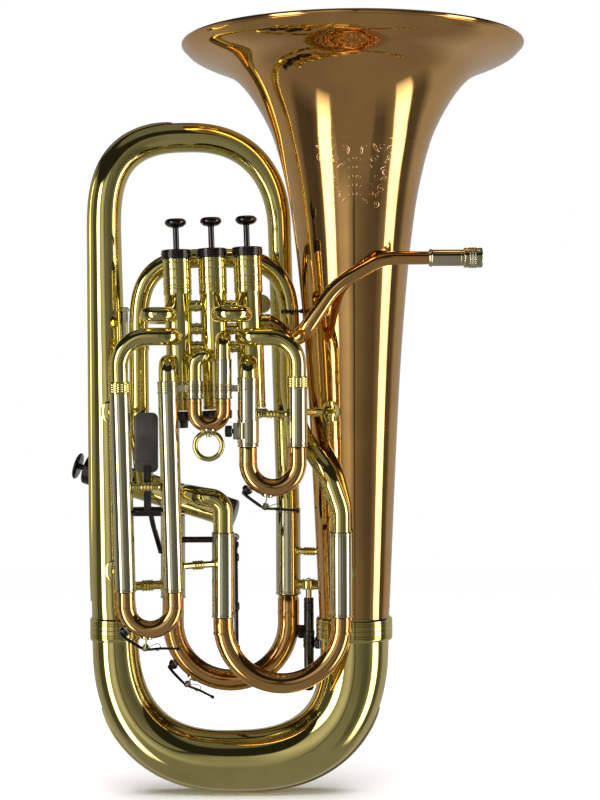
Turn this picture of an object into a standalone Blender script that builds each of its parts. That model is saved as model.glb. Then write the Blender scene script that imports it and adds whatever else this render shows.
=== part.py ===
"""Compensating euphonium, three top valves and one side valve, as separate pieces.

+Z is up with the bell upwards, +X runs from the player's left hand to the bell,
+Y points away from the front.  The origin is the lowest point of the bottom bow.
All dimensions are written in millimetres and turned into metres by mm().
"""

import math

import bmesh
import bpy
from mathutils import Matrix, Vector

# ---- driving dimensions -----------------------------------------------------------

MM = 0.001
MERGE = 0.00005
GAP = 0.35
TUBE_WALL = 0.7
BRANCH_WALL = 0.9

BELL_X = 104.1
BELL_HEIGHT = 667.0
BELL_RIM_RADIUS = 152.0
BELL_FOOT = 143.5
# (height, outer radius) of the bell's flare below the rim bead
BELL_FLARE = ((661.2, 149.6), (656.0, 144.6), (650.0, 133.6), (644.4, 119.4), (638.5, 108.0),
              (630.0, 98.6), (617.0, 88.6), (598.0, 77.6), (579.0, 69.4), (548.0, 61.0),
              (517.0, 55.2), (456.0, 48.0), (356.0, 40.5), (BELL_FOOT, 30.5))

GUARD_THICKNESS = 1.55
GUARD_HALF_WIDTH = 5.0
GUARD_REACH = GAP + GUARD_THICKNESS
BRANCH_X = -108.7
# outer radius of the bottom bow at the branch, at its lowest point and at the bell
BOW_BORE = (20.5, 26.8, 30.5)
BOW_STEPS = 16
BOW_SQUARENESS = 2.38
BOW_LEFT = BRANCH_X - BOW_BORE[0] - GUARD_REACH
BOW_RIGHT = BELL_X + BOW_BORE[2] + GUARD_REACH
BOW_DEPTH = 135.5
BOW_END = BELL_FOOT - 1.0

# (height, centre, outer radius) of the left branch between the bows
LEFT_BRANCH = ((171.0, -110.4, 19.4), (430.0, -115.7, 15.1))
TOP_BOW_LEFT = -132.9
TOP_BOW_RIGHT = 50.7
TOP_BOW_Z = 503.6
TOP_BOW_RISE = 97.0
TOP_BOW_SQUARENESS = (2.25, 2.65)
TOP_BOW_STEPS = 12
SIDE_GUARD_STEPS = 5
# how far the side guard goes on towards the next step of the top bow
SIDE_GUARD_REST = 0.6
BACK_Y = 28.0

MAIN_LEFT_X = -59.2
MAIN_RIGHT_X = 45.3
MAIN_ARC_Z = 148.2
MAIN_TUBE = 9.7
MAIN_SLEEVE = 11.1

FOURTH_Y = -44.0
FOURTH_LEFT_X = -10.7
FOURTH_RIGHT_X = 91.5
FOURTH_ARC_Z = 154.8
FOURTH_TUBE = 8.8
FOURTH_SLEEVE = 9.8
FOURTH_BEND_TUBE = 8.5
FOURTH_SLEEVE_TOP = 234.7
FOURTH_SLEEVE_END = 161.5

RETURN_BOW_SPAN = 134.2
RETURN_BOW_RISE = 75.6
RETURN_BOW_SQUARENESS = 3.0
RETURN_BOW_STEPS = 12

FRONT_Y = -78.0
LOOP_TUBE = 7.6
LOOP_SLEEVE = 8.6
FIRST_LEFT_X = 12.2
FIRST_RIGHT_X = 54.1
FIRST_ARC_Z = 295.9
SECOND_LEFT_X = -33.2
SECOND_RIGHT_X = -8.7
SECOND_ARC_Z = 340.4
SECOND_TUBE = 6.2
SECOND_SLEEVE = 7.1
THIRD_ARC_X = -71.4
THIRD_ARC_Z = 175.3
THIRD_HALF_SPACING = 20.5
THIRD_LEAN = 0.0262
INNER_FIT = 0.93
VALVE_FRONT = -62.2
SLEEVE_TOP = 360.0
FIRST_SLEEVE_END = 310.0
THIRD_SLEEVE_END = 187.0
SECOND_SLEEVE_TOP = 372.0
SECOND_SLEEVE_END = 351.0

VALVE_Y = -50.0
VALVE_SPACING = 30.5
VALVE_LEAN = 0.0297
VALVE_1_X = 11.0
VALVE_1_TOP = 481.6
VALVE_STEP_DOWN = 1.15
VALVE_LENGTH = 154.0
CASING_RADIUS = 11.65
CASING_UPPER_RADIUS = 12.25
CASING_BORE = 10.6
STEM_RADIUS = 2.6
VALVE_4_POINT = (-59.0, 28.0, 263.5)
VALVE_4_AXIS = (-0.9453, 0.1607, 0.2836)
VALVE_4_TOP = 84.7
VALVE_4_LENGTH = 144.7
KNUCKLE_HEIGHTS = (395.6, 411.2)
KNUCKLE_TUBE = 4.8

DAMPER_X = 63.7
DAMPER_Y = 22.0
DAMPER_LENGTH = 82.0
TRIGGER_X = -75.5
TRIGGER_Y = -42.0
TRIGGER_Z = 253.0
SHAFT_Y = -25.0
SHAFT_Z = 227.2
SHAFT_ROD = 2.7
PUSH_ROD_X = -1.6
STAY_ROD = 2.8
THIN_ROD = 2.1
LYRE_Z = 323.3


# ---- small helpers ----------------------------------------------------------------

def mm(x, y, z):
    """A point given in millimetres."""
    return Vector((x, y, z)) * MM


def clear_scene():
    for old in list(bpy.data.objects):
        bpy.data.objects.remove(old, do_unlink=True)


def make_collection(name):
    collection = bpy.data.collections.new(name)
    bpy.context.scene.collection.children.link(collection)
    return collection


def make_material(name, colour, roughness, metallic):
    material = bpy.data.materials.new(name)
    material.use_nodes = True
    shader = material.node_tree.nodes["Principled BSDF"]
    shader.inputs["Base Color"].default_value = (*colour, 1.0)
    shader.inputs["Roughness"].default_value = roughness
    shader.inputs["Metallic"].default_value = metallic
    material.diffuse_color = (*colour, 1.0)
    return material


clear_scene()
PARTS = make_collection("euphonium")
CUTTERS = make_collection("operands")
GOLD = make_material("gold_brass", (0.80, 0.62, 0.24), 0.16, 1.0)
ROSE = make_material("rose_brass", (0.78, 0.46, 0.25), 0.16, 1.0)
NICKEL = make_material("nickel_silver", (0.72, 0.71, 0.66), 0.16, 1.0)
BLACK = make_material("black_nickel", (0.035, 0.035, 0.04), 0.25, 1.0)
PADDLE = make_material("paddle_grey", (0.10, 0.10, 0.09), 0.40, 0.8)


def add_object(name, mesh, material, place=None, smooth=True):
    """Put a mesh into the scene as one named piece of the instrument."""
    piece = bpy.data.objects.new(name, mesh)
    PARTS.objects.link(piece)
    mesh.materials.clear()
    mesh.materials.append(material)
    if place is not None:
        piece.matrix_world = place
    if smooth:
        mesh.shade_smooth()
        mesh.set_sharp_from_angle(angle=math.radians(40))
    return piece


def frame_along(origin, axis):
    """A matrix whose local Z runs along axis and whose origin is given."""
    turn = Vector(axis).normalized().to_track_quat("Z", "Y").to_matrix().to_4x4()
    return Matrix.Translation(origin) @ turn


def upright(x, y, z):
    return Matrix.Translation(mm(x, y, z))


def solidify(piece, wall):
    shell = piece.modifiers.new("wall", "SOLIDIFY")
    shell.thickness = wall * MM
    shell.offset = -1.0
    return piece


def unite(piece, other):
    """Grow a piece by another solid, which stays behind as a guide."""
    PARTS.objects.unlink(other)
    CUTTERS.objects.link(other)
    other.hide_render = True
    other.display_type = "WIRE"
    joint = piece.modifiers.new("join_" + other.name, "BOOLEAN")
    joint.operation = "UNION"
    joint.solver = "EXACT"
    joint.object = other
    return piece


def rounded_route(corners, arc_step=30.0):
    """Points and tube radii along straight runs joined by arcs.

    A corner is (x, y, z, bend_radius, tube_radius); the ends have no bend.
    """
    points = [Vector(corner[:3]) for corner in corners]
    route = [(points[0], corners[0][4])]
    for index in range(1, len(corners) - 1):
        here = points[index]
        to_before = (points[index - 1] - here).normalized()
        to_after = (points[index + 1] - here).normalized()
        turn = math.pi - to_before.angle(to_after)
        bend = corners[index][3]
        tube = corners[index][4]
        if bend <= 0.0 or turn < 0.02:
            route.append((here, tube))
            continue
        reach = bend * math.tan(turn / 2)
        start = here + to_before * reach
        normal = to_before.cross(to_after).normalized()
        inward = normal.cross(to_before).normalized()
        centre = start + inward * bend
        steps = max(1, math.ceil(math.degrees(turn) / arc_step))
        for step in range(steps + 1):
            swing = Matrix.Rotation(-turn * step / steps, 3, normal)
            route.append((centre + swing @ (start - centre), tube))
    route.append((points[-1], corners[-1][4]))
    return route


def bent_curve(name, route, sides, caps):
    """A bevelled POLY curve through (point, radius) pairs, as a mesh."""
    curve = bpy.data.curves.new(name, "CURVE")
    curve.dimensions = "3D"
    curve.bevel_depth = MM
    curve.bevel_resolution = (sides - 4) // 2
    curve.use_fill_caps = caps
    spline = curve.splines.new("POLY")
    spline.points.add(len(route) - 1)
    for knot, (point, radius) in zip(spline.points, route):
        knot.co = (*(point * MM), 1.0)
        knot.radius = radius
    guide = bpy.data.objects.new(name + "_guide", curve)
    PARTS.objects.link(guide)
    depsgraph = bpy.context.evaluated_depsgraph_get()
    mesh = bpy.data.meshes.new_from_object(guide.evaluated_get(depsgraph))
    bpy.data.objects.remove(guide, do_unlink=True)
    welded = bmesh.new()
    welded.from_mesh(mesh)
    bmesh.ops.remove_doubles(welded, verts=welded.verts, dist=MERGE)
    bmesh.ops.recalc_face_normals(welded, faces=welded.faces)
    welded.to_mesh(mesh)
    welded.free()
    return mesh


def pipe(name, route, material, wall=TUBE_WALL, sides=8):
    """A hollow tube, open at both ends."""
    mesh = bent_curve(name, route, sides, caps=False)
    return solidify(add_object(name, mesh, material), wall)


def wire(name, route, material, sides=8):
    """A solid round bar."""
    return add_object(name, bent_curve(name, route, sides, caps=True), material)


def turned(name, profile, material, place, sides=12, closed=True):
    """A lathe piece from (radius, height) points running down its outer side."""
    mesh = bpy.data.meshes.new(name)
    points = [(radius * MM, 0.0, height * MM) for radius, height in profile]
    edges = [(index, index + 1) for index in range(len(points) - 1)]
    if closed:
        edges.append((len(points) - 1, 0))
    mesh.from_pydata(points, edges, [])
    piece = add_object(name, mesh, material, place, smooth=False)
    screw = piece.modifiers.new("turn", "SCREW")
    screw.steps = sides
    screw.render_steps = sides
    screw.use_merge_vertices = True
    screw.merge_threshold = MERGE
    screw.use_smooth_shade = True
    return piece


def block(name, size, material, place, edge=0.0):
    """A box, with its edges rounded when edge is given."""
    mesh = bpy.data.meshes.new(name)
    cube = bmesh.new()
    bmesh.ops.create_cube(cube, size=1.0)
    bmesh.ops.scale(cube, vec=Vector(size) * MM, verts=cube.verts)
    cube.to_mesh(mesh)
    cube.free()
    piece = add_object(name, mesh, material, place, smooth=False)
    if edge > 0.0:
        bevel = piece.modifiers.new("edge", "BEVEL")
        bevel.width = edge * MM
        bevel.segments = 2
    return piece


def arc_points(centre, radius, first, last, steps):
    """Points of an arc in the XZ plane, angles in degrees from +X towards +Z."""
    points = []
    for step in range(steps + 1):
        angle = math.radians(first + (last - first) * step / steps)
        points.append(Vector((centre[0] + radius * math.cos(angle), centre[1],
                              centre[2] + radius * math.sin(angle))))
    return points


def squared_arc(left, right, middle_z, rise, squareness, angle, inset):
    """A point inside a squared arc between two upright legs, at an inset from it."""
    half = (right - left) / 2
    swing = math.radians(angle)
    across = math.copysign(abs(math.cos(swing)) ** (2 / squareness), math.cos(swing))
    up = math.copysign(abs(math.sin(swing)) ** (2 / squareness), math.sin(swing))
    normal = Vector((math.copysign(abs(across) ** (squareness - 1), across) / half, 0,
                     math.copysign(abs(up) ** (squareness - 1), up) / rise)).normalized()
    return Vector(((left + right) / 2 + half * across, 0, middle_z + rise * up)) - normal * inset


# ---- bell, bottom bow, branches ---------------------------------------------------

def make_bell():
    """The flared bell with a flat rolled rim, a shell open at both ends."""
    rim = ((BELL_RIM_RADIUS - 3.4, BELL_HEIGHT), (BELL_RIM_RADIUS, BELL_HEIGHT),
           (BELL_RIM_RADIUS, BELL_HEIGHT - 3.6), (BELL_RIM_RADIUS - 2.2, BELL_HEIGHT - 5.2))
    flare = [(radius, height) for height, radius in BELL_FLARE]
    bell = turned("bell", [*rim, *flare], ROSE, upright(BELL_X, 0, 0), sides=24, closed=False)
    return solidify(bell, 1.0)


def make_ferrules():
    """Rings over the joints of the bottom bow with the bell and the left branch."""
    ring_z = BOW_DEPTH + 1.0
    for name, x, radius, wall in (("bell_ferrule", BELL_X, BOW_BORE[2], 2.4),
                                  ("branch_ferrule", BRANCH_X, BOW_BORE[0], 1.0)):
        inner = radius + 1.1
        height = 20.0
        profile = ((inner, height), (inner + 1.0, height), (inner + wall, height - 2.0),
                   (inner + wall, 2.0), (inner + 1.0, 0.0), (inner, 0.0))
        turned(name, profile, GOLD, upright(x, 0, ring_z), sides=24)


def bow_bore(angle):
    """Outer radius of the bottom bow, widening towards the bell."""
    share = (angle - 180.0) / 180.0
    if share < 0.5:
        return BOW_BORE[0] + (BOW_BORE[1] - BOW_BORE[0]) * share * 2
    return BOW_BORE[1] + (BOW_BORE[2] - BOW_BORE[1]) * (share * 2 - 1)


def bottom_bow_point(angle, inset):
    return squared_arc(BOW_LEFT, BOW_RIGHT, BOW_DEPTH, BOW_DEPTH, BOW_SQUARENESS, angle, inset)


def make_bottom_bow():
    """The wide U under the instrument, growing from the branch to the bell."""
    route = [(Vector((BRANCH_X, 0, BOW_END)), BOW_BORE[0])]
    for step in range(BOW_STEPS + 1):
        angle = 180.0 + 180.0 * step / BOW_STEPS
        bore = bow_bore(angle)
        route.append((bottom_bow_point(angle, bore + GUARD_REACH), bore))
    route.append((Vector((BELL_X, 0, BOW_END)), BOW_BORE[2]))
    pipe("bottom_bow", route, GOLD, BRANCH_WALL, sides=16)


def top_bow_point(angle, inset):
    """A point of the top bow, which leans back towards the slides and is squarer on its left."""
    squareness = TOP_BOW_SQUARENESS[angle > 90.0]
    point = squared_arc(TOP_BOW_LEFT, TOP_BOW_RIGHT, TOP_BOW_Z, TOP_BOW_RISE, squareness, angle, inset)
    point.y = BACK_Y * (180.0 - angle) / 180.0
    return point


def top_bow_bore(angle):
    share = (180.0 - angle) / 180.0
    return 14.2 - 0.3 * share - 3.4 * share * share


def make_main_branch():
    """Left branch, top bow and the right branch down to the main tuning slide."""
    route = [(Vector((BRANCH_X, 0, BOW_END + above)), BOW_BORE[0]) for above in (1.0, 8.0)]
    route += [(Vector((x, 0, z)), radius) for z, x, radius in LEFT_BRANCH]
    for step in range(TOP_BOW_STEPS + 1):
        angle = 180.0 - 180.0 * step / TOP_BOW_STEPS
        bore = top_bow_bore(angle)
        route.append((top_bow_point(angle, bore + GUARD_REACH), bore))
    route.append((Vector((MAIN_RIGHT_X, BACK_Y, 251.5)), 10.4))
    pipe("main_branch", route, GOLD, BRANCH_WALL, sides=12)


def ribbon(name, centres, material):
    """A thin strip through the points, lying across Y, thickened outwards."""
    mesh = bpy.data.meshes.new(name)
    strip = bmesh.new()
    rows = []
    for point in centres:
        front = strip.verts.new((point + Vector((0, -GUARD_HALF_WIDTH, 0))) * MM)
        back = strip.verts.new((point + Vector((0, GUARD_HALF_WIDTH, 0))) * MM)
        rows.append((front, back))
    for (a, b), (c, d) in zip(rows, rows[1:]):
        strip.faces.new((a, b, d, c))
    strip.to_mesh(mesh)
    strip.free()
    piece = add_object(name, mesh, material, smooth=False)
    shell = piece.modifiers.new("wall", "SOLIDIFY")
    shell.thickness = GUARD_THICKNESS * MM
    shell.offset = 1.0
    return piece


def make_guards():
    """Wear strips on the outside of the bottom bow and of the left branch."""
    bottom = [bottom_bow_point(180.0 + 180.0 * step / BOW_STEPS, GUARD_THICKNESS)
              for step in range(2, BOW_STEPS - 1)]
    ribbon("bottom_guard", bottom, GOLD)
    side = [top_bow_point(180.0 - 180.0 * step / TOP_BOW_STEPS, GUARD_THICKNESS)
            for step in range(SIDE_GUARD_STEPS + 1, -1, -1)]
    side[0] = side[1].lerp(side[0], SIDE_GUARD_REST)
    for z, x, radius in reversed(LEFT_BRANCH):
        side.append(Vector((x - radius - GAP, 0, z)))
    ribbon("side_guard", side, GOLD)


def make_leadpipe():
    """The tapered mouthpipe, across the bell and down to the first valve."""
    mouth_x, mouth_y, mouth_z = 167.6, -58.0, 471.2
    corners = ((mouth_x - 0.4, mouth_y, mouth_z, 0, 5.6), (128.0, mouth_y, mouth_z, 42, 5.8),
               (88.0, mouth_y, 448.5, 60, 6.4), (62.0, -57, 410.5, 20, 7.0),
               (50.0, -47, 398.5, 12, 7.0), (38.0, -47.5, 410.5, 12, 7.2),
               (31.0, -50, 415.5, 0, 7.4), (25.6, -50, 415.5, 0, 7.4))
    pipe("leadpipe", rounded_route(corners), ROSE)
    receiver = ((7.1, 0.0), (7.1, -30.0), (8.6, -31.0), (8.6, -45.8), (6.3, -45.8), (5.1, -25.0), (5.1, 0.0))
    turned("mouthpiece_receiver", receiver, NICKEL, frame_along(mm(mouth_x, mouth_y, mouth_z), (-1, 0, 0)))


# ---- valves -----------------------------------------------------------------------

def valve_frame(number):
    """Frame of a valve: origin on its top cap, local Z up its axis."""
    if number == 4:
        axis = Vector(VALVE_4_AXIS).normalized()
        return frame_along((Vector(VALVE_4_POINT) + axis * VALVE_4_TOP) * MM, axis)
    x = VALVE_1_X - VALVE_SPACING * (number - 1)
    z = VALVE_1_TOP - VALVE_STEP_DOWN * (number - 1)
    return frame_along(mm(x, VALVE_Y, z), (-VALVE_LEAN, 0, 1))


def valve_axis_x(number, z):
    """X of a top valve's axis at a height."""
    top_x = VALVE_1_X - VALVE_SPACING * (number - 1)
    return top_x + (VALVE_1_TOP - VALVE_STEP_DOWN * (number - 1) - z) * VALVE_LEAN


def make_valve(number):
    """Casing, top cap, bottom cap and piston with its stem and finger button."""
    place = valve_frame(number)
    side_valve = number == 4
    grow = 1.3 if side_valve else 0.0
    length = VALVE_4_LENGTH if side_valve else VALVE_LENGTH
    foot = -(length - 15.0)
    step = -44.0
    lower = CASING_RADIUS + grow
    upper = lower if side_valve else CASING_UPPER_RADIUS
    bore = CASING_BORE + grow
    casing = ((upper, -8.2), (upper, step), (lower, step - 1.0), (lower, foot), (bore, foot), (bore, -8.2))
    body_shell = turned(f"valve_casing_{number}", casing, GOLD, place)

    hole = STEM_RADIUS + 0.6
    rim = 13.4 + grow * 0.3
    cap = ((hole, 0.0), (rim - 0.9, 0.0), (rim, -0.9), (rim, -7.8), (hole, -7.8))
    turned(f"top_cap_{number}", cap, BLACK, place)
    bulk, nipple = (14.0, 12.4) if side_valve else (8.0, 5.2)
    wide = rim - 0.6
    bottom = ((0.0, foot - GAP), (wide, foot - GAP), (wide, foot - bulk), (nipple, foot - bulk - 1.0),
              (nipple, foot - 15.0), (0.0, foot - 15.0))
    turned(f"bottom_cap_{number}", bottom, BLACK, place, closed=False)

    lift, thick, button = (6.6, 2.8, 12.2) if side_valve else (19.6, 7.4, 9.4)
    body = bore - 0.8
    piston = ((0.0, lift + thick), (button - 0.8, lift + thick), (button, lift + thick - 0.9),
              (button, lift + 1.0), (STEM_RADIUS, lift), (STEM_RADIUS, -11.0), (body, -12.0),
              (body, -104.0), (body - 1.0, -104.0), (body - 1.0, -13.5), (0.0, -13.5))
    turned(f"piston_{number}", piston, BLACK, place, closed=False)
    return body_shell


def make_knuckles(first_casing, middle_casing):
    """Crossover tubes between the top valves, and the bow before valves 1 and 2."""
    reach = VALVE_SPACING - CASING_RADIUS - GAP
    for z in KNUCKLE_HEIGHTS:
        middle = valve_axis_x(2, z)
        for side in (-1, 1):
            route = [(Vector((middle + side * end, VALVE_Y, z)), KNUCKLE_TUBE)
                     for end in (CASING_BORE + 0.5, reach)]
            unite(middle_casing, pipe(f"knuckle_{2 - side}_{z:.0f}", route, GOLD, sides=8))
    back = [(Vector((23.0, y, 433.4)), radius) for y, radius in ((-39.4, 8.0), (-20.0, 8.0), (-17.0, 5.5))]
    unite(first_casing, wire("back_knuckle", back, GOLD))
    z, tube, left, right, front = 422.5, 7.0, -12.1, 8.9, -85.0
    bend = (right - left) / 2 - 0.1
    corners = ((left, VALVE_FRONT, z, 0, tube), (left, front, z, bend, tube),
               (right, front, z, bend, tube), (right, VALVE_FRONT, z, 0, tube))
    pipe("front_knuckle", rounded_route(corners), GOLD, sides=8)


def make_third_compensating_loop():
    """A closed-looking loop round the left of the third valve, from front to back."""
    z, tube, bend, front, back = 422.3, 6.2, 9.5, -83.0, -25.0
    near, far = valve_axis_x(3, z) - 6.0, valve_axis_x(3, z) - 25.2
    corners = ((near, VALVE_FRONT, z, 0, tube), (near, front, z, bend, tube), (far, front, z, bend, tube),
               (far, back, z, bend, tube), (near, back, z, bend, tube), (near, -37.8, z, 0, tube))
    pipe("third_compensating_loop", rounded_route(corners), GOLD, sides=8)


# ---- fixed tubing with the slide sleeves ------------------------------------------

def sleeved(corners, sleeve_top, sleeve_end, x_at, y, sleeve_radius):
    """Add a sleeve, one step wider, to the lower end of a bend's corners."""
    tube = corners[-1][4]
    top = (x_at(sleeve_top), y, sleeve_top, 0, tube)
    shoulder = (x_at(sleeve_top - 0.5), y, sleeve_top - 0.5, 0, sleeve_radius)
    end = (x_at(sleeve_end), y, sleeve_end, 0, sleeve_radius)
    return [*corners, top, shoulder, end]


def make_first_loop():
    left = [(FIRST_LEFT_X, VALVE_FRONT, 381.0, 0, LOOP_TUBE), (FIRST_LEFT_X, FRONT_Y, 381.0, 10, LOOP_TUBE)]
    pipe("first_inlet", rounded_route(
        sleeved(left, SLEEVE_TOP, FIRST_SLEEVE_END, lambda z: FIRST_LEFT_X, FRONT_Y, LOOP_SLEEVE)), GOLD)
    z, valve_x = 403.3, 8.5
    right = [(valve_x, VALVE_FRONT, z, 0, LOOP_TUBE), (valve_x, FRONT_Y, z, 10, LOOP_TUBE),
             (FIRST_RIGHT_X, FRONT_Y, z, 24, LOOP_TUBE)]
    pipe("first_outlet", rounded_route(
        sleeved(right, SLEEVE_TOP, FIRST_SLEEVE_END, lambda z: FIRST_RIGHT_X, FRONT_Y, LOOP_SLEEVE)), GOLD)


def make_second_loop():
    valve_x, z = -22.3, 388.0
    left = [(valve_x, VALVE_FRONT, z, 0, SECOND_TUBE), (valve_x, FRONT_Y, z, 10, SECOND_TUBE),
            (SECOND_LEFT_X, FRONT_Y, z - 4.0, 9, SECOND_TUBE)]
    pipe("second_inlet", rounded_route(sleeved(
        left, SECOND_SLEEVE_TOP, SECOND_SLEEVE_END, lambda z: SECOND_LEFT_X, FRONT_Y, SECOND_SLEEVE)), GOLD)
    z = 403.0
    right = [(SECOND_RIGHT_X, VALVE_FRONT, z, 0, SECOND_TUBE), (SECOND_RIGHT_X, FRONT_Y, z, 10, SECOND_TUBE)]
    pipe("second_outlet", rounded_route(sleeved(
        right, SECOND_SLEEVE_TOP, SECOND_SLEEVE_END, lambda z: SECOND_RIGHT_X, FRONT_Y, SECOND_SLEEVE)), GOLD)


def third_x(side, z):
    """X of the leaning third slide's leg; side is -1 left, +1 right."""
    return THIRD_ARC_X + side * THIRD_HALF_SPACING - (z - THIRD_ARC_Z) * THIRD_LEAN


def make_third_loop():
    z = 381.0
    right = [(third_x(1, z), VALVE_FRONT, z, 0, LOOP_TUBE), (third_x(1, z), FRONT_Y, z, 10, LOOP_TUBE)]
    pipe("third_inlet", rounded_route(
        sleeved(right, SLEEVE_TOP, THIRD_SLEEVE_END, lambda z: third_x(1, z), FRONT_Y, LOOP_SLEEVE)), GOLD)
    z, valve_x = 403.7, -51.5
    left = [(valve_x, VALVE_FRONT, z, 0, LOOP_TUBE), (valve_x, FRONT_Y, z, 10, LOOP_TUBE),
            (third_x(-1, z), FRONT_Y, z, 25, LOOP_TUBE)]
    pipe("third_outlet", rounded_route(
        sleeved(left, SLEEVE_TOP, THIRD_SLEEVE_END, lambda z: third_x(-1, z), FRONT_Y, LOOP_SLEEVE)), GOLD)


def make_fourth_tubing():
    """Bends from valve 4 into the fourth slide and from it to the bow behind the valves."""
    tube = FOURTH_BEND_TUBE
    inlet = [(-46.0, 10.0, 265.0, 0, tube), (-43.0, -26.0, 267.5, 24, tube),
             (-28.0, FOURTH_Y, 265.5, 14, tube), (FOURTH_LEFT_X, FOURTH_Y, 263.0, 12, tube)]
    pipe("fourth_inlet", rounded_route(sleeved(
        inlet, FOURTH_SLEEVE_TOP, FOURTH_SLEEVE_END, lambda z: FOURTH_LEFT_X, FOURTH_Y, FOURTH_SLEEVE)), GOLD)
    bow_x, bow_y, bow_z = 47.5, -5.0, 398.0
    back = [(bow_x, bow_y, bow_z, 0, tube), (bow_x, bow_y, 352.0, 60, tube),
            (57.0, -20.0, 320.0, 60, tube), (81.0, FOURTH_Y + 2.0, 284.0, 45, tube),
            (FOURTH_RIGHT_X, FOURTH_Y, 254.0, 35, tube)]
    pipe("fourth_return", rounded_route(sleeved(
        back, FOURTH_SLEEVE_TOP, FOURTH_SLEEVE_END, lambda z: FOURTH_RIGHT_X, FOURTH_Y, FOURTH_SLEEVE)), GOLD)
    left_x = bow_x - RETURN_BOW_SPAN
    bow = [(Vector((bow_x, bow_y, bow_z + 0.5)), tube)]
    for step in range(RETURN_BOW_STEPS + 1):
        point = squared_arc(left_x - tube, bow_x + tube, bow_z + 10.5, RETURN_BOW_RISE, RETURN_BOW_SQUARENESS,
                            180.0 * step / RETURN_BOW_STEPS, tube)
        bow.append((point + Vector((0, bow_y, 0)), tube))
    tail = rounded_route(((left_x, bow_y, bow_z + 2.0, 0, tube), (left_x + 0.7, bow_y, 318.0, 40, tube),
                          (left_x + 2.2, 21.6, 281.6, 0, tube)))
    pipe("return_bow", [*bow, *tail], GOLD)


def make_main_sleeves():
    for name, x, top, end in (("main_sleeve_left", MAIN_LEFT_X, 245.8, 171.0),
                              ("main_sleeve_right", MAIN_RIGHT_X, 251.0, 174.0)):
        pipe(name, [(Vector((x, BACK_Y, top)), MAIN_SLEEVE), (Vector((x, BACK_Y, end)), MAIN_SLEEVE)],
             NICKEL, sides=10)


# ---- sliding crooks ---------------------------------------------------------------

def crook(name, left_top, right_top, left_x, right_x, y, arc_z, tube, sleeve_end, sides=8, lean=0.0):
    """A U-shaped slide; its legs are one step slimmer inside the sleeves."""
    centre_x = (left_x + right_x) / 2
    radius = (right_x - left_x) / 2
    inner = tube * INNER_FIT

    def leg(x, z):
        return Vector((x - (z - arc_z) * lean, y, z))

    shoulder = sleeve_end - 1.2
    route = [(leg(left_x, left_top), inner), (leg(left_x, shoulder + 0.8), inner)]
    route.append((leg(left_x, shoulder), tube))
    route += [(point, tube) for point in arc_points((centre_x, y, arc_z), radius, 180, 360, 6)]
    route += [(leg(right_x, shoulder), tube), (leg(right_x, shoulder + 0.8), inner),
              (leg(right_x, right_top), inner)]
    return pipe(name, route, ROSE, sides=sides)


def make_slides():
    crook("first_slide", 350, 350, FIRST_LEFT_X, FIRST_RIGHT_X, FRONT_Y, FIRST_ARC_Z, LOOP_TUBE,
          FIRST_SLEEVE_END)
    second = crook("second_slide", 369, 369, SECOND_LEFT_X, SECOND_RIGHT_X, FRONT_Y, SECOND_ARC_Z,
                   SECOND_TUBE, SECOND_SLEEVE_END)
    bpy.ops.mesh.primitive_torus_add(major_radius=11.5 * MM, minor_radius=2.1 * MM,
                                     major_segments=14, minor_segments=6)
    ring = bpy.context.active_object
    for home in list(ring.users_collection):
        home.objects.unlink(ring)
    PARTS.objects.link(ring)
    ring.name = "pull_ring"
    ring.matrix_world = frame_along(mm(-21.4, FRONT_Y, 311.0), (0, 1, 0))
    unite(second, ring)
    crook("third_slide", 300, 300, THIRD_ARC_X - THIRD_HALF_SPACING, THIRD_ARC_X + THIRD_HALF_SPACING,
          FRONT_Y, THIRD_ARC_Z, LOOP_TUBE, THIRD_SLEEVE_END, lean=THIRD_LEAN)
    crook("fourth_slide", 225, 225, FOURTH_LEFT_X, FOURTH_RIGHT_X, FOURTH_Y, FOURTH_ARC_Z,
          FOURTH_TUBE, FOURTH_SLEEVE_END)
    main = crook("main_slide", 238, 242, MAIN_LEFT_X, MAIN_RIGHT_X, BACK_Y, MAIN_ARC_Z, MAIN_TUBE,
                 171.0, sides=10)
    floor = -DAMPER_LENGTH
    cylinder = turned("damper_cylinder", ((4.5, 0.0), (4.5, floor), (0.0, floor), (0.0, floor + 3.0),
                                          (3.4, floor + 3.0), (3.4, 0.0)), BLACK,
                      upright(DAMPER_X, DAMPER_Y, 171.0))
    lug_place = upright(57.15, 25.1, 140.0)
    lug = block("damper_lug", (7.0, 4.0, 12.0), NICKEL, lug_place @ Matrix.Rotation(-0.354, 4, "Z"))
    unite(main, cylinder)
    unite(main, lug)
    saddle = block("push_rod_saddle", (5.0, 5.0, 15.0), NICKEL, upright(PUSH_ROD_X, 26.0, 110.0))
    unite(main, saddle)


# ---- braces -----------------------------------------------------------------------

def brace(name, start, end, rod):
    """A round stay with a flange at each end and a bead in the middle."""
    first, last = Vector(start), Vector(end)
    length = (last - first).length
    half = length / 2
    flange, bead = rod + 1.5, rod + 0.7
    profile = ((0.0, length), (flange, length), (flange, length - 1.2), (rod, length - 2.4),
               (rod, half + 2.0), (bead, half + 1.0), (bead, half - 1.0), (rod, half - 2.0),
               (rod, 2.4), (flange, 1.2), (flange, 0.0), (0.0, 0.0))
    return turned(name, profile, GOLD, frame_along(first * MM, last - first), sides=8, closed=False)


def stay_between(name, first, second, z, rod=STAY_ROD):
    """A level stay between two upright tubes, each given as (x, y, radius)."""
    start, end = Vector((first[0], first[1], z)), Vector((second[0], second[1], z))
    along = (end - start).normalized()
    return brace(name, start + along * (first[2] + GAP), end - along * (second[2] + GAP), rod)


def bell_radius(z):
    """Outer radius of the bell at a height, from its flare."""
    for (upper_z, upper), (lower_z, lower) in zip(BELL_FLARE, BELL_FLARE[1:]):
        if lower_z <= z <= upper_z:
            return lower + (upper - lower) * (z - lower_z) / (upper_z - lower_z)
    return BOW_BORE[2]


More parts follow.
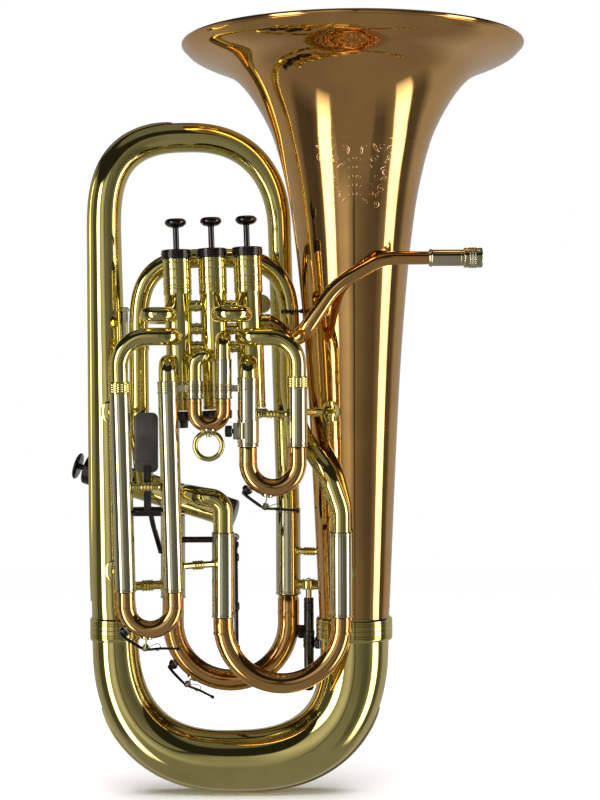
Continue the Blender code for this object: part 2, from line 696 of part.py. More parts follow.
def make_braces():
    """Stays between the tubes; the damper's rod hangs from the last one."""
    z = 276.0
    stay_between("brace_third", (third_x(-1, z), FRONT_Y, LOOP_SLEEVE), (third_x(1, z), FRONT_Y, LOOP_SLEEVE), z)
    first_right = (FIRST_RIGHT_X, FRONT_Y, LOOP_SLEEVE)
    stay_between("brace_first", (FIRST_LEFT_X, FRONT_Y, LOOP_SLEEVE), first_right, 337.5)
    z = 339.0
    stay_between("brace_first_bell", first_right, (BELL_X, 0, bell_radius(z)), z)
    z = 208.0
    stay_between("brace_third_fourth", (third_x(1, z), FRONT_Y, LOOP_SLEEVE),
                 (FOURTH_LEFT_X, FOURTH_Y, FOURTH_SLEEVE), z)
    main_right = (MAIN_RIGHT_X, BACK_Y, MAIN_SLEEVE)
    z = 213.0
    stay_between("brace_main_bell", main_right, (BELL_X, 0, bell_radius(z)), z)
    z = 183.0
    _, branch_x, branch_radius = LEFT_BRANCH[0]
    stay_between("brace_main_left", (branch_x, 0, branch_radius), (MAIN_LEFT_X, BACK_Y, MAIN_SLEEVE), z, THIN_ROD)
    damper = stay_between("brace_damper", main_right, (BELL_X, 0, bell_radius(z)), z, THIN_ROD)
    rod = turned("damper_rod", ((0.0, z + 1.0), (2.7, z + 1.0), (2.7, 112.0), (0.0, 112.0)), BLACK,
                 upright(DAMPER_X, DAMPER_Y, 0), sides=10, closed=False)
    unite(damper, rod)


# ---- trigger linkage --------------------------------------------------------------

def make_trigger():
    """Thumb trigger on the third slide's legs, torque shaft and push rod."""
    left, right = third_x(-1, TRIGGER_Z), third_x(1, TRIGGER_Z)
    leg_back = FRONT_Y + LOOP_SLEEVE + GAP
    corners = ((left, leg_back, TRIGGER_Z, 0, 1.9), (left, TRIGGER_Y, TRIGGER_Z, 4, 1.9),
               (right, TRIGGER_Y, TRIGGER_Z, 4, 1.9), (right, leg_back, TRIGGER_Z, 0, 1.9))
    wire("trigger_pivot", rounded_route(corners, 30), BLACK)

    hub = turned("trigger_lever", ((4.2, 13.0), (4.2, -13.0), (2.4, -13.0), (2.4, 13.0)), BLACK,
                 frame_along(mm(TRIGGER_X, TRIGGER_Y, TRIGGER_Z), (1, 0, 0)))
    arm = block("trigger_upper_arm", (6.5, 3.0, 36.0), BLACK,
                upright(TRIGGER_X - 0.5, TRIGGER_Y - 3.0, TRIGGER_Z + 20.5))
    paddle = block("trigger_paddle", (20.8, 3.4, 52.0), PADDLE,
                   upright(TRIGGER_X - 1.6, TRIGGER_Y - 3.2, 313.0), edge=1.5)
    top, foot = Vector((TRIGGER_X + 2.0, TRIGGER_Y + 1.2, 249.6)), Vector((-66.0, SHAFT_Y - 1.5, 216.0))
    tail = block("trigger_tail", (3.0, 6.4, (foot - top).length), BLACK,
                 frame_along((top + foot) / 2 * MM, top - foot))
    for other in (arm, paddle, tail):
        unite(hub, other)

    start_x, arm_foot, arm_end, bend = -59.5, 212.0, 4.5, 5.0
    corners = ((start_x, SHAFT_Y, arm_foot, 0, SHAFT_ROD), (start_x, SHAFT_Y, SHAFT_Z, bend, SHAFT_ROD),
               (PUSH_ROD_X, SHAFT_Y, SHAFT_Z, bend, SHAFT_ROD), (PUSH_ROD_X, arm_end, SHAFT_Z, 0, SHAFT_ROD))
    wire("trigger_shaft", rounded_route(corners, 30), BLACK)
    hole = SHAFT_ROD + 0.5
    eye = turned("shaft_bearing", ((hole + 1.8, 5.0), (hole + 1.8, -5.0), (hole, -5.0), (hole, 5.0)), NICKEL,
                 frame_along(mm(FOURTH_LEFT_X, SHAFT_Y, SHAFT_Z), (1, 0, 0)))
    foot_y = (FOURTH_Y + FOURTH_SLEEVE + GAP + SHAFT_Y - hole) / 2
    depth = SHAFT_Y - hole - FOURTH_Y - FOURTH_SLEEVE - GAP
    foot = block("bearing_foot", (6.0, depth, 5.0), NICKEL, upright(FOURTH_LEFT_X, foot_y, SHAFT_Z))
    unite(eye, foot)
    make_push_rod()


def make_push_rod():
    """The slanting rod from the shaft's arm down to the main slide, with its collars."""
    top, foot = Vector((PUSH_ROD_X, 1.2, 223.5)), Vector((PUSH_ROD_X, 23.6, 119.4))
    rod, collar, knob = 1.9, 3.1, 3.3
    steps = ((223.5, collar), (218.0, collar), (217.2, rod), (213.0, rod), (212.0, collar), (206.0, collar),
             (205.0, rod), (168.5, rod), (167.5, collar), (161.0, collar), (160.0, rod), (128.0, rod),
             (127.2, knob), (119.4, knob))
    route = [(foot + (top - foot) * (z - foot.z) / (top.z - foot.z), radius) for z, radius in steps]
    wire("push_rod", route, BLACK)


# ---- water keys and lyre box ------------------------------------------------------

def water_key(name, arc_centre, arc_radius, tube, angle, post, tip):
    """A rocking key: cork cup against the crook, hub at the post, touch piece."""
    swing = math.radians(angle)
    out = Vector((math.cos(swing), 0, math.sin(swing)))
    seat = Vector(arc_centre) + out * (arc_radius + tube + GAP + 0.6)
    hub = Vector(post)
    end = Vector(tip)
    along = (end - hub).normalized()
    back = (hub - (seat + out * 7.5)).normalized()
    route = [(seat, 4.6), (seat + out * 4.2, 4.6), (seat + out * 4.5, 1.6), (seat + out * 7.0, 1.6),
             (hub - back * 2.6, 1.6), (hub - back * 2.0, 2.6), (hub + along * 2.0, 2.6),
             (hub + along * 2.6, 1.4), (end - along * 4.0, 1.4), (end - along * 3.2, 2.4), (end, 2.4)]
    wire(name, route, BLACK)


def make_water_keys():
    first_radius = (FIRST_RIGHT_X - FIRST_LEFT_X) / 2
    first_x = (FIRST_RIGHT_X + FIRST_LEFT_X) / 2
    water_key("water_key_first", (first_x, FRONT_Y, FIRST_ARC_Z), first_radius, LOOP_TUBE, 226,
              (26.6, FRONT_Y, 259.0), (54.0, FRONT_Y, 255.0))
    water_key("water_key_third", (THIRD_ARC_X, FRONT_Y, THIRD_ARC_Z), THIRD_HALF_SPACING, LOOP_TUBE, 225,
              (-75.6, FRONT_Y, 139.5), (-47.6, FRONT_Y, 138.5))
    main_radius = (MAIN_RIGHT_X - MAIN_LEFT_X) / 2
    main_x = (MAIN_RIGHT_X + MAIN_LEFT_X) / 2
    water_key("water_key_main", (main_x, BACK_Y, MAIN_ARC_Z), main_radius, MAIN_TUBE, 216,
              (-46.5, BACK_Y, 92.5), (-24.0, BACK_Y, 80.8))


def make_lyre_box():
    """Square lyre socket on the first valve's tubing, with its thumbscrew."""
    box_x, box_y, screw_y = 2.2, -88.5, -91.0
    body = block("lyre_box", (4.2, 11.0, 14.0), NICKEL, upright(box_x, box_y, LYRE_Z))
    hole = block("lyre_hole", (2.0, 7.0, 30.0), NICKEL, upright(box_x + 0.4, box_y, LYRE_Z))
    PARTS.objects.unlink(hole)
    CUTTERS.objects.link(hole)
    hole.hide_render = True
    hole.display_type = "WIRE"
    cut = body.modifiers.new("socket", "BOOLEAN")
    cut.operation = "DIFFERENCE"
    cut.solver = "EXACT"
    cut.object = hole
    screw = ((0.0, 6.6), (4.0, 6.6), (4.9, 5.6), (4.9, 1.0), (4.0, 0.0), (0.0, 0.0))
    turned("lyre_screw", screw, BLACK, frame_along(mm(box_x - 2.6, screw_y, LYRE_Z), (-1, 0, 0)), sides=10,
           closed=False)


def main():
    make_bell()
    make_ferrules()
    make_bottom_bow()
    make_main_branch()
    make_guards()
    make_leadpipe()
    casings = [make_valve(number) for number in (1, 2, 3, 4)]
    make_knuckles(casings[0], casings[1])
    make_third_compensating_loop()
    make_first_loop()
    make_second_loop()
    make_third_loop()
    make_fourth_tubing()
    make_main_sleeves()
    make_slides()
    make_braces()
    make_trigger()
    make_water_keys()
    make_lyre_box()


main()
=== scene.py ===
import math

import bmesh
import bpy
from mathutils import Matrix, Vector


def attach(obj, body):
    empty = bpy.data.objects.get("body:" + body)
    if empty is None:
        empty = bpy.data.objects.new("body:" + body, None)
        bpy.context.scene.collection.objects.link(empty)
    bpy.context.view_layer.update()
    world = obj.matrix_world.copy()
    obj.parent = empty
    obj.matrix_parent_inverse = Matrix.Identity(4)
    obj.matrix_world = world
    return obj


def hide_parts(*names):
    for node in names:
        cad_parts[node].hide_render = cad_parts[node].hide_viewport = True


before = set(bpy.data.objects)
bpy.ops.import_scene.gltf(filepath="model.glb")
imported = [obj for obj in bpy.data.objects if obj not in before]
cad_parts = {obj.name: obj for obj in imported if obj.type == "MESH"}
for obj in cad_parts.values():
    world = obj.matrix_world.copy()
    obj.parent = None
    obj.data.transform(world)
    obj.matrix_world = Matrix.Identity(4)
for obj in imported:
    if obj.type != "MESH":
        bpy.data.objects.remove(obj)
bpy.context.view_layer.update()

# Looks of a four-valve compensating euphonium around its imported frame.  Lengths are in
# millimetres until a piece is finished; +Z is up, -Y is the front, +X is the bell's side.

MM = 0.001
ARC_STEP = 5.0
SHARP_ANGLE = 38.0


# ---- driving dimensions, the same as the frame's -----------------------------------

BELL_X = 104.1
BELL_TOP = 667.0
BELL_RIM = 152.0
BELL_WALL = 0.9
BELL_FOOT = 143.5
BELL_FLARE = ((661.2, 149.6), (656.0, 144.6), (650.0, 133.6), (644.4, 119.4), (638.5, 108.0),
              (630.0, 98.6), (617.0, 88.6), (598.0, 77.6), (579.0, 69.4), (548.0, 61.0),
              (517.0, 55.2), (456.0, 48.0), (356.0, 40.5), (BELL_FOOT, 30.5))
GAP = 0.35
GUARD_THICKNESS = 1.55
GUARD_REACH = GAP + GUARD_THICKNESS
BRANCH_X = -108.7
BOW_BORE = (20.5, 26.8, 30.5)
BOW_SQUARENESS = 2.38
BOW_LEFT = BRANCH_X - BOW_BORE[0] - GUARD_REACH
BOW_RIGHT = BELL_X + BOW_BORE[2] + GUARD_REACH
BOW_DEPTH = 135.5
BOW_END = 142.5
BOW_WALL = 0.9
BELL_LIP = 662.5
BELL_SEAM = 574.0
RIM_ROLL = 2.3
# (height, centre, outer radius) of the left branch between the bows
LEFT_BRANCH = ((150.5, BRANCH_X, BOW_BORE[0]), (171.0, -110.4, 19.4), (430.0, -115.7, 15.1))
# left side, right side, height of the legs' top and rise of the top bow's outline
TOP_BOW = (-132.9, 50.7, 503.6, 97.0)
TOP_BOW_SQUARENESS = (2.25, 2.65)
BACK_Y = 28.0
MAIN_X = (-59.2, 45.3)
MAIN_ARC_Z = 148.2
MAIN_TUBE = 9.7
MAIN_SLEEVE = 11.1
MAIN_MOUTH = 171.0
FOURTH_X = (-10.7, 91.5)
FOURTH_Y = -44.0
FOURTH_ARC_Z = 154.8
FOURTH_TUBE = 8.8
FOURTH_SLEEVE = 9.8
FOURTH_BEND_TUBE = 8.5
FOURTH_MOUTH = 161.5
RETURN_BOW_SPAN = 134.2
RETURN_BOW_RISE = 75.6
RETURN_BOW_SQUARENESS = 3.0
FRONT_Y = -78.0
LOOP_TUBE = 7.6
LOOP_SLEEVE = 8.6
FIRST_X = (12.2, 54.1)
FIRST_ARC_Z = 295.9
FIRST_MOUTH = 310.0
SECOND_X = (-33.2, -8.7)
SECOND_ARC_Z = 340.4
SECOND_TUBE = 6.2
SECOND_SLEEVE = 7.1
SECOND_MOUTH = 351.0
THIRD_X = -71.4
THIRD_ARC_Z = 175.3
THIRD_MOUTH = 187.0
THIRD_HALF = 20.5
THIRD_LEAN = 0.0262
VALVE_Y = -50.0
VALVE_SPACING = 30.5
VALVE_LEAN = 0.0297
VALVE_1 = (11.0, 481.6)
VALVE_STEP_DOWN = 1.15
VALVE_4_POINT = (-59.0, 28.0, 263.5)
VALVE_4_AXIS = (-0.9453, 0.1607, 0.2836)
VALVE_4_TOP = 84.7
CASING_RADIUS = 11.65
CASING_UPPER_RADIUS = 12.25
CASING_BORE = 10.6
CASING_STEP = -38.6
STEM_RADIUS = 2.6
KNUCKLE_HEIGHTS = (395.6, 411.2, 431.0)
KNUCKLE_TUBE = 4.8
DAMPER = (63.7, 22.0)
TRIGGER = (-75.5, -42.0, 253.0)
SHAFT_Y = -25.0
SHAFT_Z = 227.2
SHAFT_ROD = 2.7
PUSH_X = -1.6
LYRE_Z = 323.3
DOWN = Vector((0, 0, -1))
# the camera, in metres and degrees
CAMERA_PLACE = (0.0564, -1.655, 0.3494)
CAMERA_LENS = 83.57
CAMERA_SENSOR = 36.0
CAMERA_ROLL = -0.2


# ---- materials ---------------------------------------------------------------------


class Graph:
    """Nodes of one procedural material, with the shader's own sockets at hand."""

    def __init__(self, name):
        self.material = bpy.data.materials.new(name)
        self.material.use_nodes = True
        self.tree = self.material.node_tree
        self.shader = self.tree.nodes["Principled BSDF"]
        self.place = self.add("ShaderNodeTexCoord")

    def add(self, kind, **values):
        node = self.tree.nodes.new(kind)
        for key, value in values.items():
            if hasattr(node, key):
                setattr(node, key, value)
            else:
                node.inputs[key.replace("_", " ")].default_value = value
        return node

    def link(self, source, target):
        self.tree.links.new(source, target)

    def noise(self, scale, detail=3.0, stretch=(1.0, 1.0, 1.0)):
        mapping = self.add("ShaderNodeMapping", Scale=stretch)
        texture = self.add("ShaderNodeTexNoise", Scale=scale, Detail=detail)
        self.link(self.place.outputs["Object"], mapping.inputs["Vector"])
        self.link(mapping.outputs["Vector"], texture.inputs["Vector"])
        return texture.outputs["Fac"]

    def ramp(self, factor, stops):
        node = self.add("ShaderNodeValToRGB")
        points = node.color_ramp.elements
        while len(points) < len(stops):
            points.new(0.5)
        for point, (where, colour) in zip(points, stops):
            point.position = where
            point.color = (*colour, 1.0)
        self.link(factor, node.inputs["Fac"])
        return node.outputs["Color"]

    def span(self, factor, low, high, start=0.3, end=0.7):
        node = self.add("ShaderNodeMapRange")
        for name, value in (("From Min", start), ("From Max", end), ("To Min", low), ("To Max", high)):
            node.inputs[name].default_value = value
        self.link(factor, node.inputs["Value"])
        return node.outputs["Result"]

    def bump(self, height, distance, strength=1.0, under=None):
        node = self.add("ShaderNodeBump", Strength=strength, Distance=distance)
        self.link(height, node.inputs["Height"])
        if under is not None:
            self.link(under, node.inputs["Normal"])
        return node.outputs["Normal"]

    def finish(self, **uniform):
        for key, value in uniform.items():
            self.shader.inputs[key.replace("_", " ")].default_value = value
        return self.material


def polished_metal(name, light, dark, smooth, worn, coat):
    """Lacquered or plated metal: cloudy tint, smudged gloss, faint hand-worked waves."""
    graph = Graph(name)
    clouds = graph.noise(22.0, 4.0)
    graph.link(graph.ramp(clouds, ((0.32, dark), (0.62, light))), graph.shader.inputs["Base Color"])
    smudge = graph.noise(75.0, 6.0, (1.0, 1.0, 0.35))
    graph.link(graph.span(smudge, smooth, worn), graph.shader.inputs["Roughness"])
    waves = graph.bump(graph.noise(26.0, 1.0), 0.00022, 0.6)
    fine = graph.bump(graph.noise(1400.0, 2.0), 0.000006, 0.35, waves)
    graph.link(fine, graph.shader.inputs["Normal"])
    return graph.finish(Metallic=1.0, Coat_Weight=coat, Coat_Roughness=0.035, Coat_IOR=1.45)


def satin_grey(name, light, dark):
    """Satin plating of the trigger paddle, with a fine blasted grain."""
    graph = Graph(name)
    graph.link(graph.ramp(graph.noise(60.0, 5.0), ((0.3, dark), (0.7, light))),
               graph.shader.inputs["Base Color"])
    graph.link(graph.span(graph.noise(420.0, 4.0), 0.42, 0.62), graph.shader.inputs["Roughness"])
    grain = graph.bump(graph.noise(3200.0, 2.0), 0.00004, 0.5)
    graph.link(grain, graph.shader.inputs["Normal"])
    return graph.finish(Metallic=0.55)


def soft_matter(name, light, dark, scale, depth):
    """Cork or rubber: speckled colour over a pitted surface."""
    graph = Graph(name)
    speckle = graph.noise(scale, 6.0)
    graph.link(graph.ramp(speckle, ((0.35, dark), (0.65, light))), graph.shader.inputs["Base Color"])
    graph.link(graph.span(speckle, 0.6, 0.9), graph.shader.inputs["Roughness"])
    graph.link(graph.bump(speckle, depth, 0.8), graph.shader.inputs["Normal"])
    return graph.finish(Metallic=0.0)


GOLD = polished_metal("gold_lacquer", (0.82, 0.715, 0.26), (0.70, 0.605, 0.20), 0.035, 0.09, 0.45)
ROSE = polished_metal("rose_lacquer", (0.82, 0.48, 0.16), (0.72, 0.40, 0.13), 0.035, 0.09, 0.45)
NICKEL = polished_metal("nickel_plate", (0.76, 0.71, 0.50), (0.64, 0.60, 0.40), 0.04, 0.11, 0.2)
BLACK = polished_metal("black_nickel_plate", (0.060, 0.058, 0.060), (0.030, 0.029, 0.031), 0.08, 0.24, 0.6)
ENGRAVED = polished_metal("engraved_lacquer", (0.93, 0.62, 0.36), (0.80, 0.48, 0.24), 0.16, 0.34, 0.2)
PADDLE = satin_grey("paddle_satin", (0.125, 0.125, 0.110), (0.085, 0.085, 0.075))
CORK = soft_matter("key_cork", (0.52, 0.33, 0.17), (0.28, 0.16, 0.08), 900.0, 0.0003)
# near black: real rubber and felt for the stem felts and the damper pad, and also the painted shade rings in
# the gaps at the slide sleeves
RUBBER_AND_GAP_SHADE = soft_matter("rubber_and_slide_gap_shade", (0.030, 0.030, 0.030), (0.012, 0.012, 0.012), 500.0, 0.0001)


# ---- closed skins ------------------------------------------------------------------


class Shell:
    """Closed skins gathered into one piece."""

    def __init__(self):
        self.points = []
        self.faces = []

    def ring(self, points):
        start = len(self.points)
        self.points += [Vector(point) for point in points]
        return list(range(start, len(self.points)))

    def bridge(self, first, second):
        count = max(len(first), len(second))
        for here in range(count):
            after = (here + 1) % count
            if len(first) == 1:
                self.faces.append((first[0], second[after], second[here]))
            elif len(second) == 1:
                self.faces.append((first[here], first[after], second[0]))
            else:
                self.faces.append((first[here], first[after], second[after], second[here]))

    def loft(self, rings, loop=False):
        """Skin over a row of rings; an open row is capped at both ends."""
        rows = [self.ring(ring) for ring in rings]
        for first, second in zip(rows, rows[1:]):
            self.bridge(first, second)
        if loop:
            self.bridge(rows[-1], rows[0])
            return
        for row in (rows[0], rows[-1]):
            if len(row) > 1:
                self.faces.append(tuple(row))

    def piece(self, name, body, material, *nodes):
        """Finish the skins as one named piece that rides on a body."""
        mesh = bpy.data.meshes.new(name)
        mesh.from_pydata([point * MM for point in self.points], [], self.faces)
        tidy = bmesh.new()
        tidy.from_mesh(mesh)
        bmesh.ops.recalc_face_normals(tidy, faces=tidy.faces)
        tidy.to_mesh(mesh)
        tidy.free()
        mesh.shade_smooth()
        mesh.set_sharp_from_angle(angle=math.radians(SHARP_ANGLE))
        mesh.materials.append(material)
        made = bpy.data.objects.new(name, mesh)
        bpy.context.scene.collection.objects.link(made)
        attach(made, body)
        if nodes:
            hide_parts(*nodes)
        return made


def frame_along(origin, axis):
    """A matrix whose local Z runs along axis from origin."""
    turn = Vector(axis).normalized().to_track_quat("Z", "Y").to_matrix().to_4x4()
    return Matrix.Translation(Vector(origin)) @ turn


def tangents(points):
    steps = [(b - a).normalized() for a, b in zip(points, points[1:])]
    middle = [(a + b).normalized() for a, b in zip(steps, steps[1:])]
    return [steps[0], *middle, steps[-1]]


def section_frames(points):
    """Pairs of directions across a path that turn no more than the path does."""
    along = tangents(points)
    side = along[0].orthogonal().normalized()
    frames = []
    for index, tangent in enumerate(along):
        if index:
            side = along[index - 1].rotation_difference(tangent) @ side
        side = (side - tangent * side.dot(tangent)).normalized()
        frames.append((side, tangent.cross(side)))
    return frames


def sweep(shell, route, sides=32, wall=0.0):
    """A round bar along (point, radius) pairs, hollow when a wall is given."""
    points = [Vector(point) for point, _ in route]
    frames = section_frames(points)

    def rings(inset):
        made = []
        for point, (_, radius), (side, across) in zip(points, route, frames):
            turns = [2 * math.pi * step / sides for step in range(sides)]
            reach = radius - inset
            made.append([point + (side * math.cos(t) + across * math.sin(t)) * reach for t in turns])
        return made

    if wall > 0.0:
        shell.loft(rings(0.0) + rings(wall)[::-1], loop=True)
    else:
        shell.loft(rings(0.0))
    return shell


def lathe(shell, profile, origin, axis=(0, 0, 1), sides=48, ripples=0):
    """A turned skin from (radius, height) or (radius, height, ripple depth) points."""
    place = frame_along(origin, axis)
    rings = []
    for radius, height, *depth in profile:
        if radius < 0.001:
            rings.append([place @ Vector((0.0, 0.0, height))])
            continue
        ring = []
        for step in range(sides):
            turn = 2 * math.pi * step / sides
            reach = radius + (depth[0] * math.cos(ripples * turn) if depth else 0.0)
            ring.append(place @ Vector((reach * math.cos(turn), reach * math.sin(turn), height)))
        rings.append(ring)
    shell.loft(rings, loop=len(rings[0]) > 1 and len(rings[-1]) > 1)
    return shell


def eased(profile, ease):
    """The same profile with its corners rounded."""
    points = [Vector(point[:2]) for point in profile]
    made = []
    for index, here in enumerate(points):
        if index in (0, len(points) - 1):
            made.append(tuple(here))
            continue
        before = points[index - 1] - here
        after = points[index + 1] - here
        reach = min(ease, before.length * 0.45, after.length * 0.45)
        start = here + before.normalized() * reach
        end = here + after.normalized() * reach
        for share in (0.0, 0.33, 0.67, 1.0):
            made.append(tuple(start * (1 - share) ** 2 + here * 2 * share * (1 - share) + end * share ** 2))
    return made


def banded(radius, low, high, bands):
    """A straight side from low to high with rounded ridges or grooves.

    A band is (height, width, depth) or (height, width, depth, ripple).
    """
    side = [(radius, low)]
    for height, width, depth, *ripple in sorted(bands):
        for share, lift in ((-0.5, 0.0), (-0.32, 0.68), (0.0, 1.0), (0.32, 0.68), (0.5, 0.0)):
            extra = [ripple[0] * lift] if ripple else []
            side.append((radius + depth * lift, height + width * share, *extra))
    side.append((radius, high))
    return side


def collar(shell, origin, axis, inner, outer, length, bands=(), edge=0.35, sides=48, ripples=0):
    """A ring round a tube, from origin along axis, with eased ends."""
    side = banded(outer, edge, length - edge, bands)
    profile = [(inner, 0.0), (outer - edge, 0.0), *side, (outer - edge, length), (inner, length)]
    return lathe(shell, profile, origin, axis, sides, ripples)


def slab(shell, size, place, edge=0.4):
    """A block with rounded edges, set by a matrix."""
    cube = bmesh.new()
    bmesh.ops.create_cube(cube, size=1.0)
    bmesh.ops.scale(cube, vec=Vector(size), verts=cube.verts)
    bmesh.ops.bevel(cube, geom=cube.edges[:] + cube.verts[:], offset=edge, segments=3, affect="EDGES")
    cube.verts.index_update()
    start = len(shell.points)
    shell.points += [place @ vert.co for vert in cube.verts]
    shell.faces += [tuple(start + vert.index for vert in face.verts) for face in cube.faces]
    cube.free()
    return shell


def plate(shell, outline, thickness, place, edge=0.3):
    """A flat convex outline in local XY, thickened along Z, with eased rims."""
    centre = sum((Vector(point) for point in outline), Vector((0.0, 0.0))) / len(outline)
    rings = []
    for height, inset in ((0.0, edge), (edge, 0.0), (thickness - edge, 0.0), (thickness, edge)):
        ring = []
        for point in outline:
            ray = Vector(point) - centre
            ray *= max(0.0, 1.0 - inset / max(ray.length, 0.001))
            ring.append(place @ Vector((*(centre + ray), height - thickness / 2)))
        rings.append(ring)
    shell.loft(rings)
    return shell


def ball(shell, centre, radius, axis=(0, 0, 1), squash=1.0, sides=24):
    steps = 12
    turns = [math.pi * step / steps for step in range(steps + 1)]
    profile = [(radius * math.sin(turn), -radius * squash * math.cos(turn)) for turn in turns]
    return lathe(shell, profile, centre, axis, sides)


def hoop(shell, centre, axis, radius, thick, sides=96, steps=14):
    """A plain torus."""
    turns = [2 * math.pi * step / steps for step in range(steps)]
    profile = [(radius + thick * math.cos(turn), thick * math.sin(turn)) for turn in turns]
    return lathe(shell, profile, centre, axis, sides)


def slotted_screw(shell, origin, axis, radius=1.7, height=1.1):
    """A small domed screw head with a slot left between its two halves."""
    place = frame_along(origin, axis)
    gap = radius * 0.16
    for side in (-1, 1):
        outline = []
        first = math.asin(gap / radius)
        for step in range(9):
            turn = first + (math.pi - 2 * first) * step / 8
            outline.append((radius * math.cos(turn), side * radius * math.sin(turn)))
        plate(shell, outline, height, place @ Matrix.Translation((0, 0, height / 2)), 0.2)
    return lathe(shell, ((0.0, -0.4), (radius, -0.4), (radius, 0.45), (0.0, 0.45)), origin, axis, 20)


def rounded_route(corners, arc_step=ARC_STEP):
    """(point, radius) pairs along straight runs joined by arcs.

    A corner is (x, y, z, bend radius, tube radius); the ends have no bend.
    """
    points = [Vector(corner[:3]) for corner in corners]
    route = [(points[0], corners[0][4])]
    for index in range(1, len(corners) - 1):
        here = points[index]
        before = (points[index - 1] - here).normalized()
        after = (points[index + 1] - here).normalized()
        turn = math.pi - before.angle(after)
        bend, tube = corners[index][3:5]
        if bend <= 0.0 or turn < 0.02:
            route.append((here, tube))
            continue
        start = here + before * bend * math.tan(turn / 2)
        normal = before.cross(after).normalized()
        centre = start + normal.cross(before).normalized() * bend
        steps = max(2, math.ceil(math.degrees(turn) / arc_step))
        for step in range(steps + 1):
            swing = Matrix.Rotation(-turn * step / steps, 3, normal)
            route.append((centre + swing @ (start - centre), tube))
    route.append((points[-1], corners[-1][4]))
    return route


def spline(points, steps=6):
    """A smooth path through the points."""
    knots = [Vector(point) for point in points]
    knots = [knots[0] * 2 - knots[1], *knots, knots[-1] * 2 - knots[-2]]
    made = []
    for a, b, c, d in zip(knots, knots[1:], knots[2:], knots[3:]):
        for step in range(steps):
            t = step / steps
            made.append(0.5 * (b * 2 + (c - a) * t + (a * 2 - b * 5 + c * 4 - d) * t * t
                               + (b * 3 - a - c * 3 + d) * t ** 3))
    made.append(knots[-2])
    return made


def arc_points(centre, radius, first, last, steps):
    """Points of an arc in the XZ plane, degrees from +X towards +Z."""
    made = []
    for step in range(steps + 1):
        turn = math.radians(first + (last - first) * step / steps)
        made.append(Vector(centre) + Vector((math.cos(turn), 0.0, math.sin(turn))) * radius)
    return made


def signed_power(value, power):
    return math.copysign(abs(value) ** power, value)


def squared_arc(left, right, middle_z, rise, squareness, angle, inset):
    """A point inside a squared arc between two upright legs, at an inset from it."""
    half = (right - left) / 2
    swing = math.radians(angle)
    across = signed_power(math.cos(swing), 2 / squareness)
    up = signed_power(math.sin(swing), 2 / squareness)
    normal = Vector((signed_power(across, squareness - 1) / half, 0,
                     signed_power(up, squareness - 1) / rise)).normalized()
    return Vector(((left + right) / 2 + half * across, 0, middle_z + rise * up)) - normal * inset


def smooth_table(table, where):
    """A value between the rows of an ascending (where, value) table, with smooth slopes."""
    rows = list(table)
    slopes = []
    for index in range(len(rows)):
        low, high = rows[max(index - 1, 0)], rows[min(index + 1, len(rows) - 1)]
        slopes.append((high[1] - low[1]) / (high[0] - low[0]))
    last = len(rows) - 2
    index = next((step for step in range(last) if where <= rows[step + 1][0]), last)
    (x0, y0), (x1, y1) = rows[index], rows[index + 1]
    gap = x1 - x0
    t = min(1.0, max(0.0, (where - x0) / gap))
    return ((2 * t ** 3 - 3 * t * t + 1) * y0 + (t ** 3 - 2 * t * t + t) * gap * slopes[index]
            + (3 * t * t - 2 * t ** 3) * y1 + (t ** 3 - t * t) * gap * slopes[index + 1])


# ---- bell, bows and branches -------------------------------------------------------

def bell_radius(height):
    return smooth_table([(z, r) for z, r in reversed(BELL_FLARE)], height)


def skin_profile(outer, wall):
    """An outer profile and the same one moved in by the wall, as one closed loop."""
    inner = []
    points = [Vector(point) for point in outer]
    for point, along in zip(points, tangents(points)):
        inner.append(tuple(point + Vector((-along.y, along.x)) * wall))
    return [*outer, *inner[::-1]]


def make_bell():
    outer = []
    steps = 84
    flare_top = BELL_FLARE[0][0]
    for step in range(steps + 1):
        share = 1.0 - (1.0 - step / steps) ** 1.7
        height = BELL_FOOT + (BELL_LIP - BELL_FOOT) * share
        lip = max(0.0, height - flare_top) * 1.2
        outer.append((bell_radius(min(height, flare_top)) + lip, height))
    shell = Shell()
    lathe(shell, skin_profile(outer, BELL_WALL), (BELL_X, 0, 0), sides=144)
    shell.piece("bell_flare", "body", ROSE, "bell")
    shell = Shell()
    hoop(shell, (BELL_X, 0, BELL_TOP - RIM_ROLL), (0, 0, 1), BELL_RIM - RIM_ROLL, RIM_ROLL, 160, 16)
    shell.piece("bell_rim_roll", "body", ROSE)
    shell = Shell()
    hoop(shell, (BELL_X, 0, BELL_SEAM), (0, 0, 1), bell_radius(BELL_SEAM) + 0.02, 0.28, 128, 8)
    shell.piece("bell_seam_line", "body", GOLD)


# (across, height, size, turns, first angle, way round) of the engraved scrolls on one side
SCROLLS = (
    (24.0, 566.0, 4.6, 1.4, 200, 1), (31.0, 558.5, 3.2, 1.2, 90, -1), (17.0, 556.0, 3.6, 1.3, 20, 1),
    (27.0, 546.0, 4.2, 1.5, 160, -1), (18.5, 541.0, 2.8, 1.1, 250, 1), (23.5, 531.5, 3.8, 1.3, 60, 1),
    (14.0, 526.5, 2.6, 1.2, 140, -1), (19.0, 518.5, 3.0, 1.3, 230, 1), (9.0, 566.5, 2.8, 1.2, 310, -1))
# (across, height, length, lean, fatness) of the leaves between them
LEAVES = (
    (20.0, 562.0, 8.0, 118, 1.2), (26.5, 553.0, 7.0, 42, 1.1), (15.0, 549.0, 7.5, 150, 1.1),
    (22.5, 539.0, 7.0, 20, 1.0), (17.0, 533.0, 7.0, 165, 1.0), (18.0, 524.0, 6.5, 60, 0.9),
    (11.0, 519.0, 6.0, 130, 0.9), (6.0, 560.0, 6.0, 95, 0.9), (29.0, 565.0, 6.5, 30, 1.0))


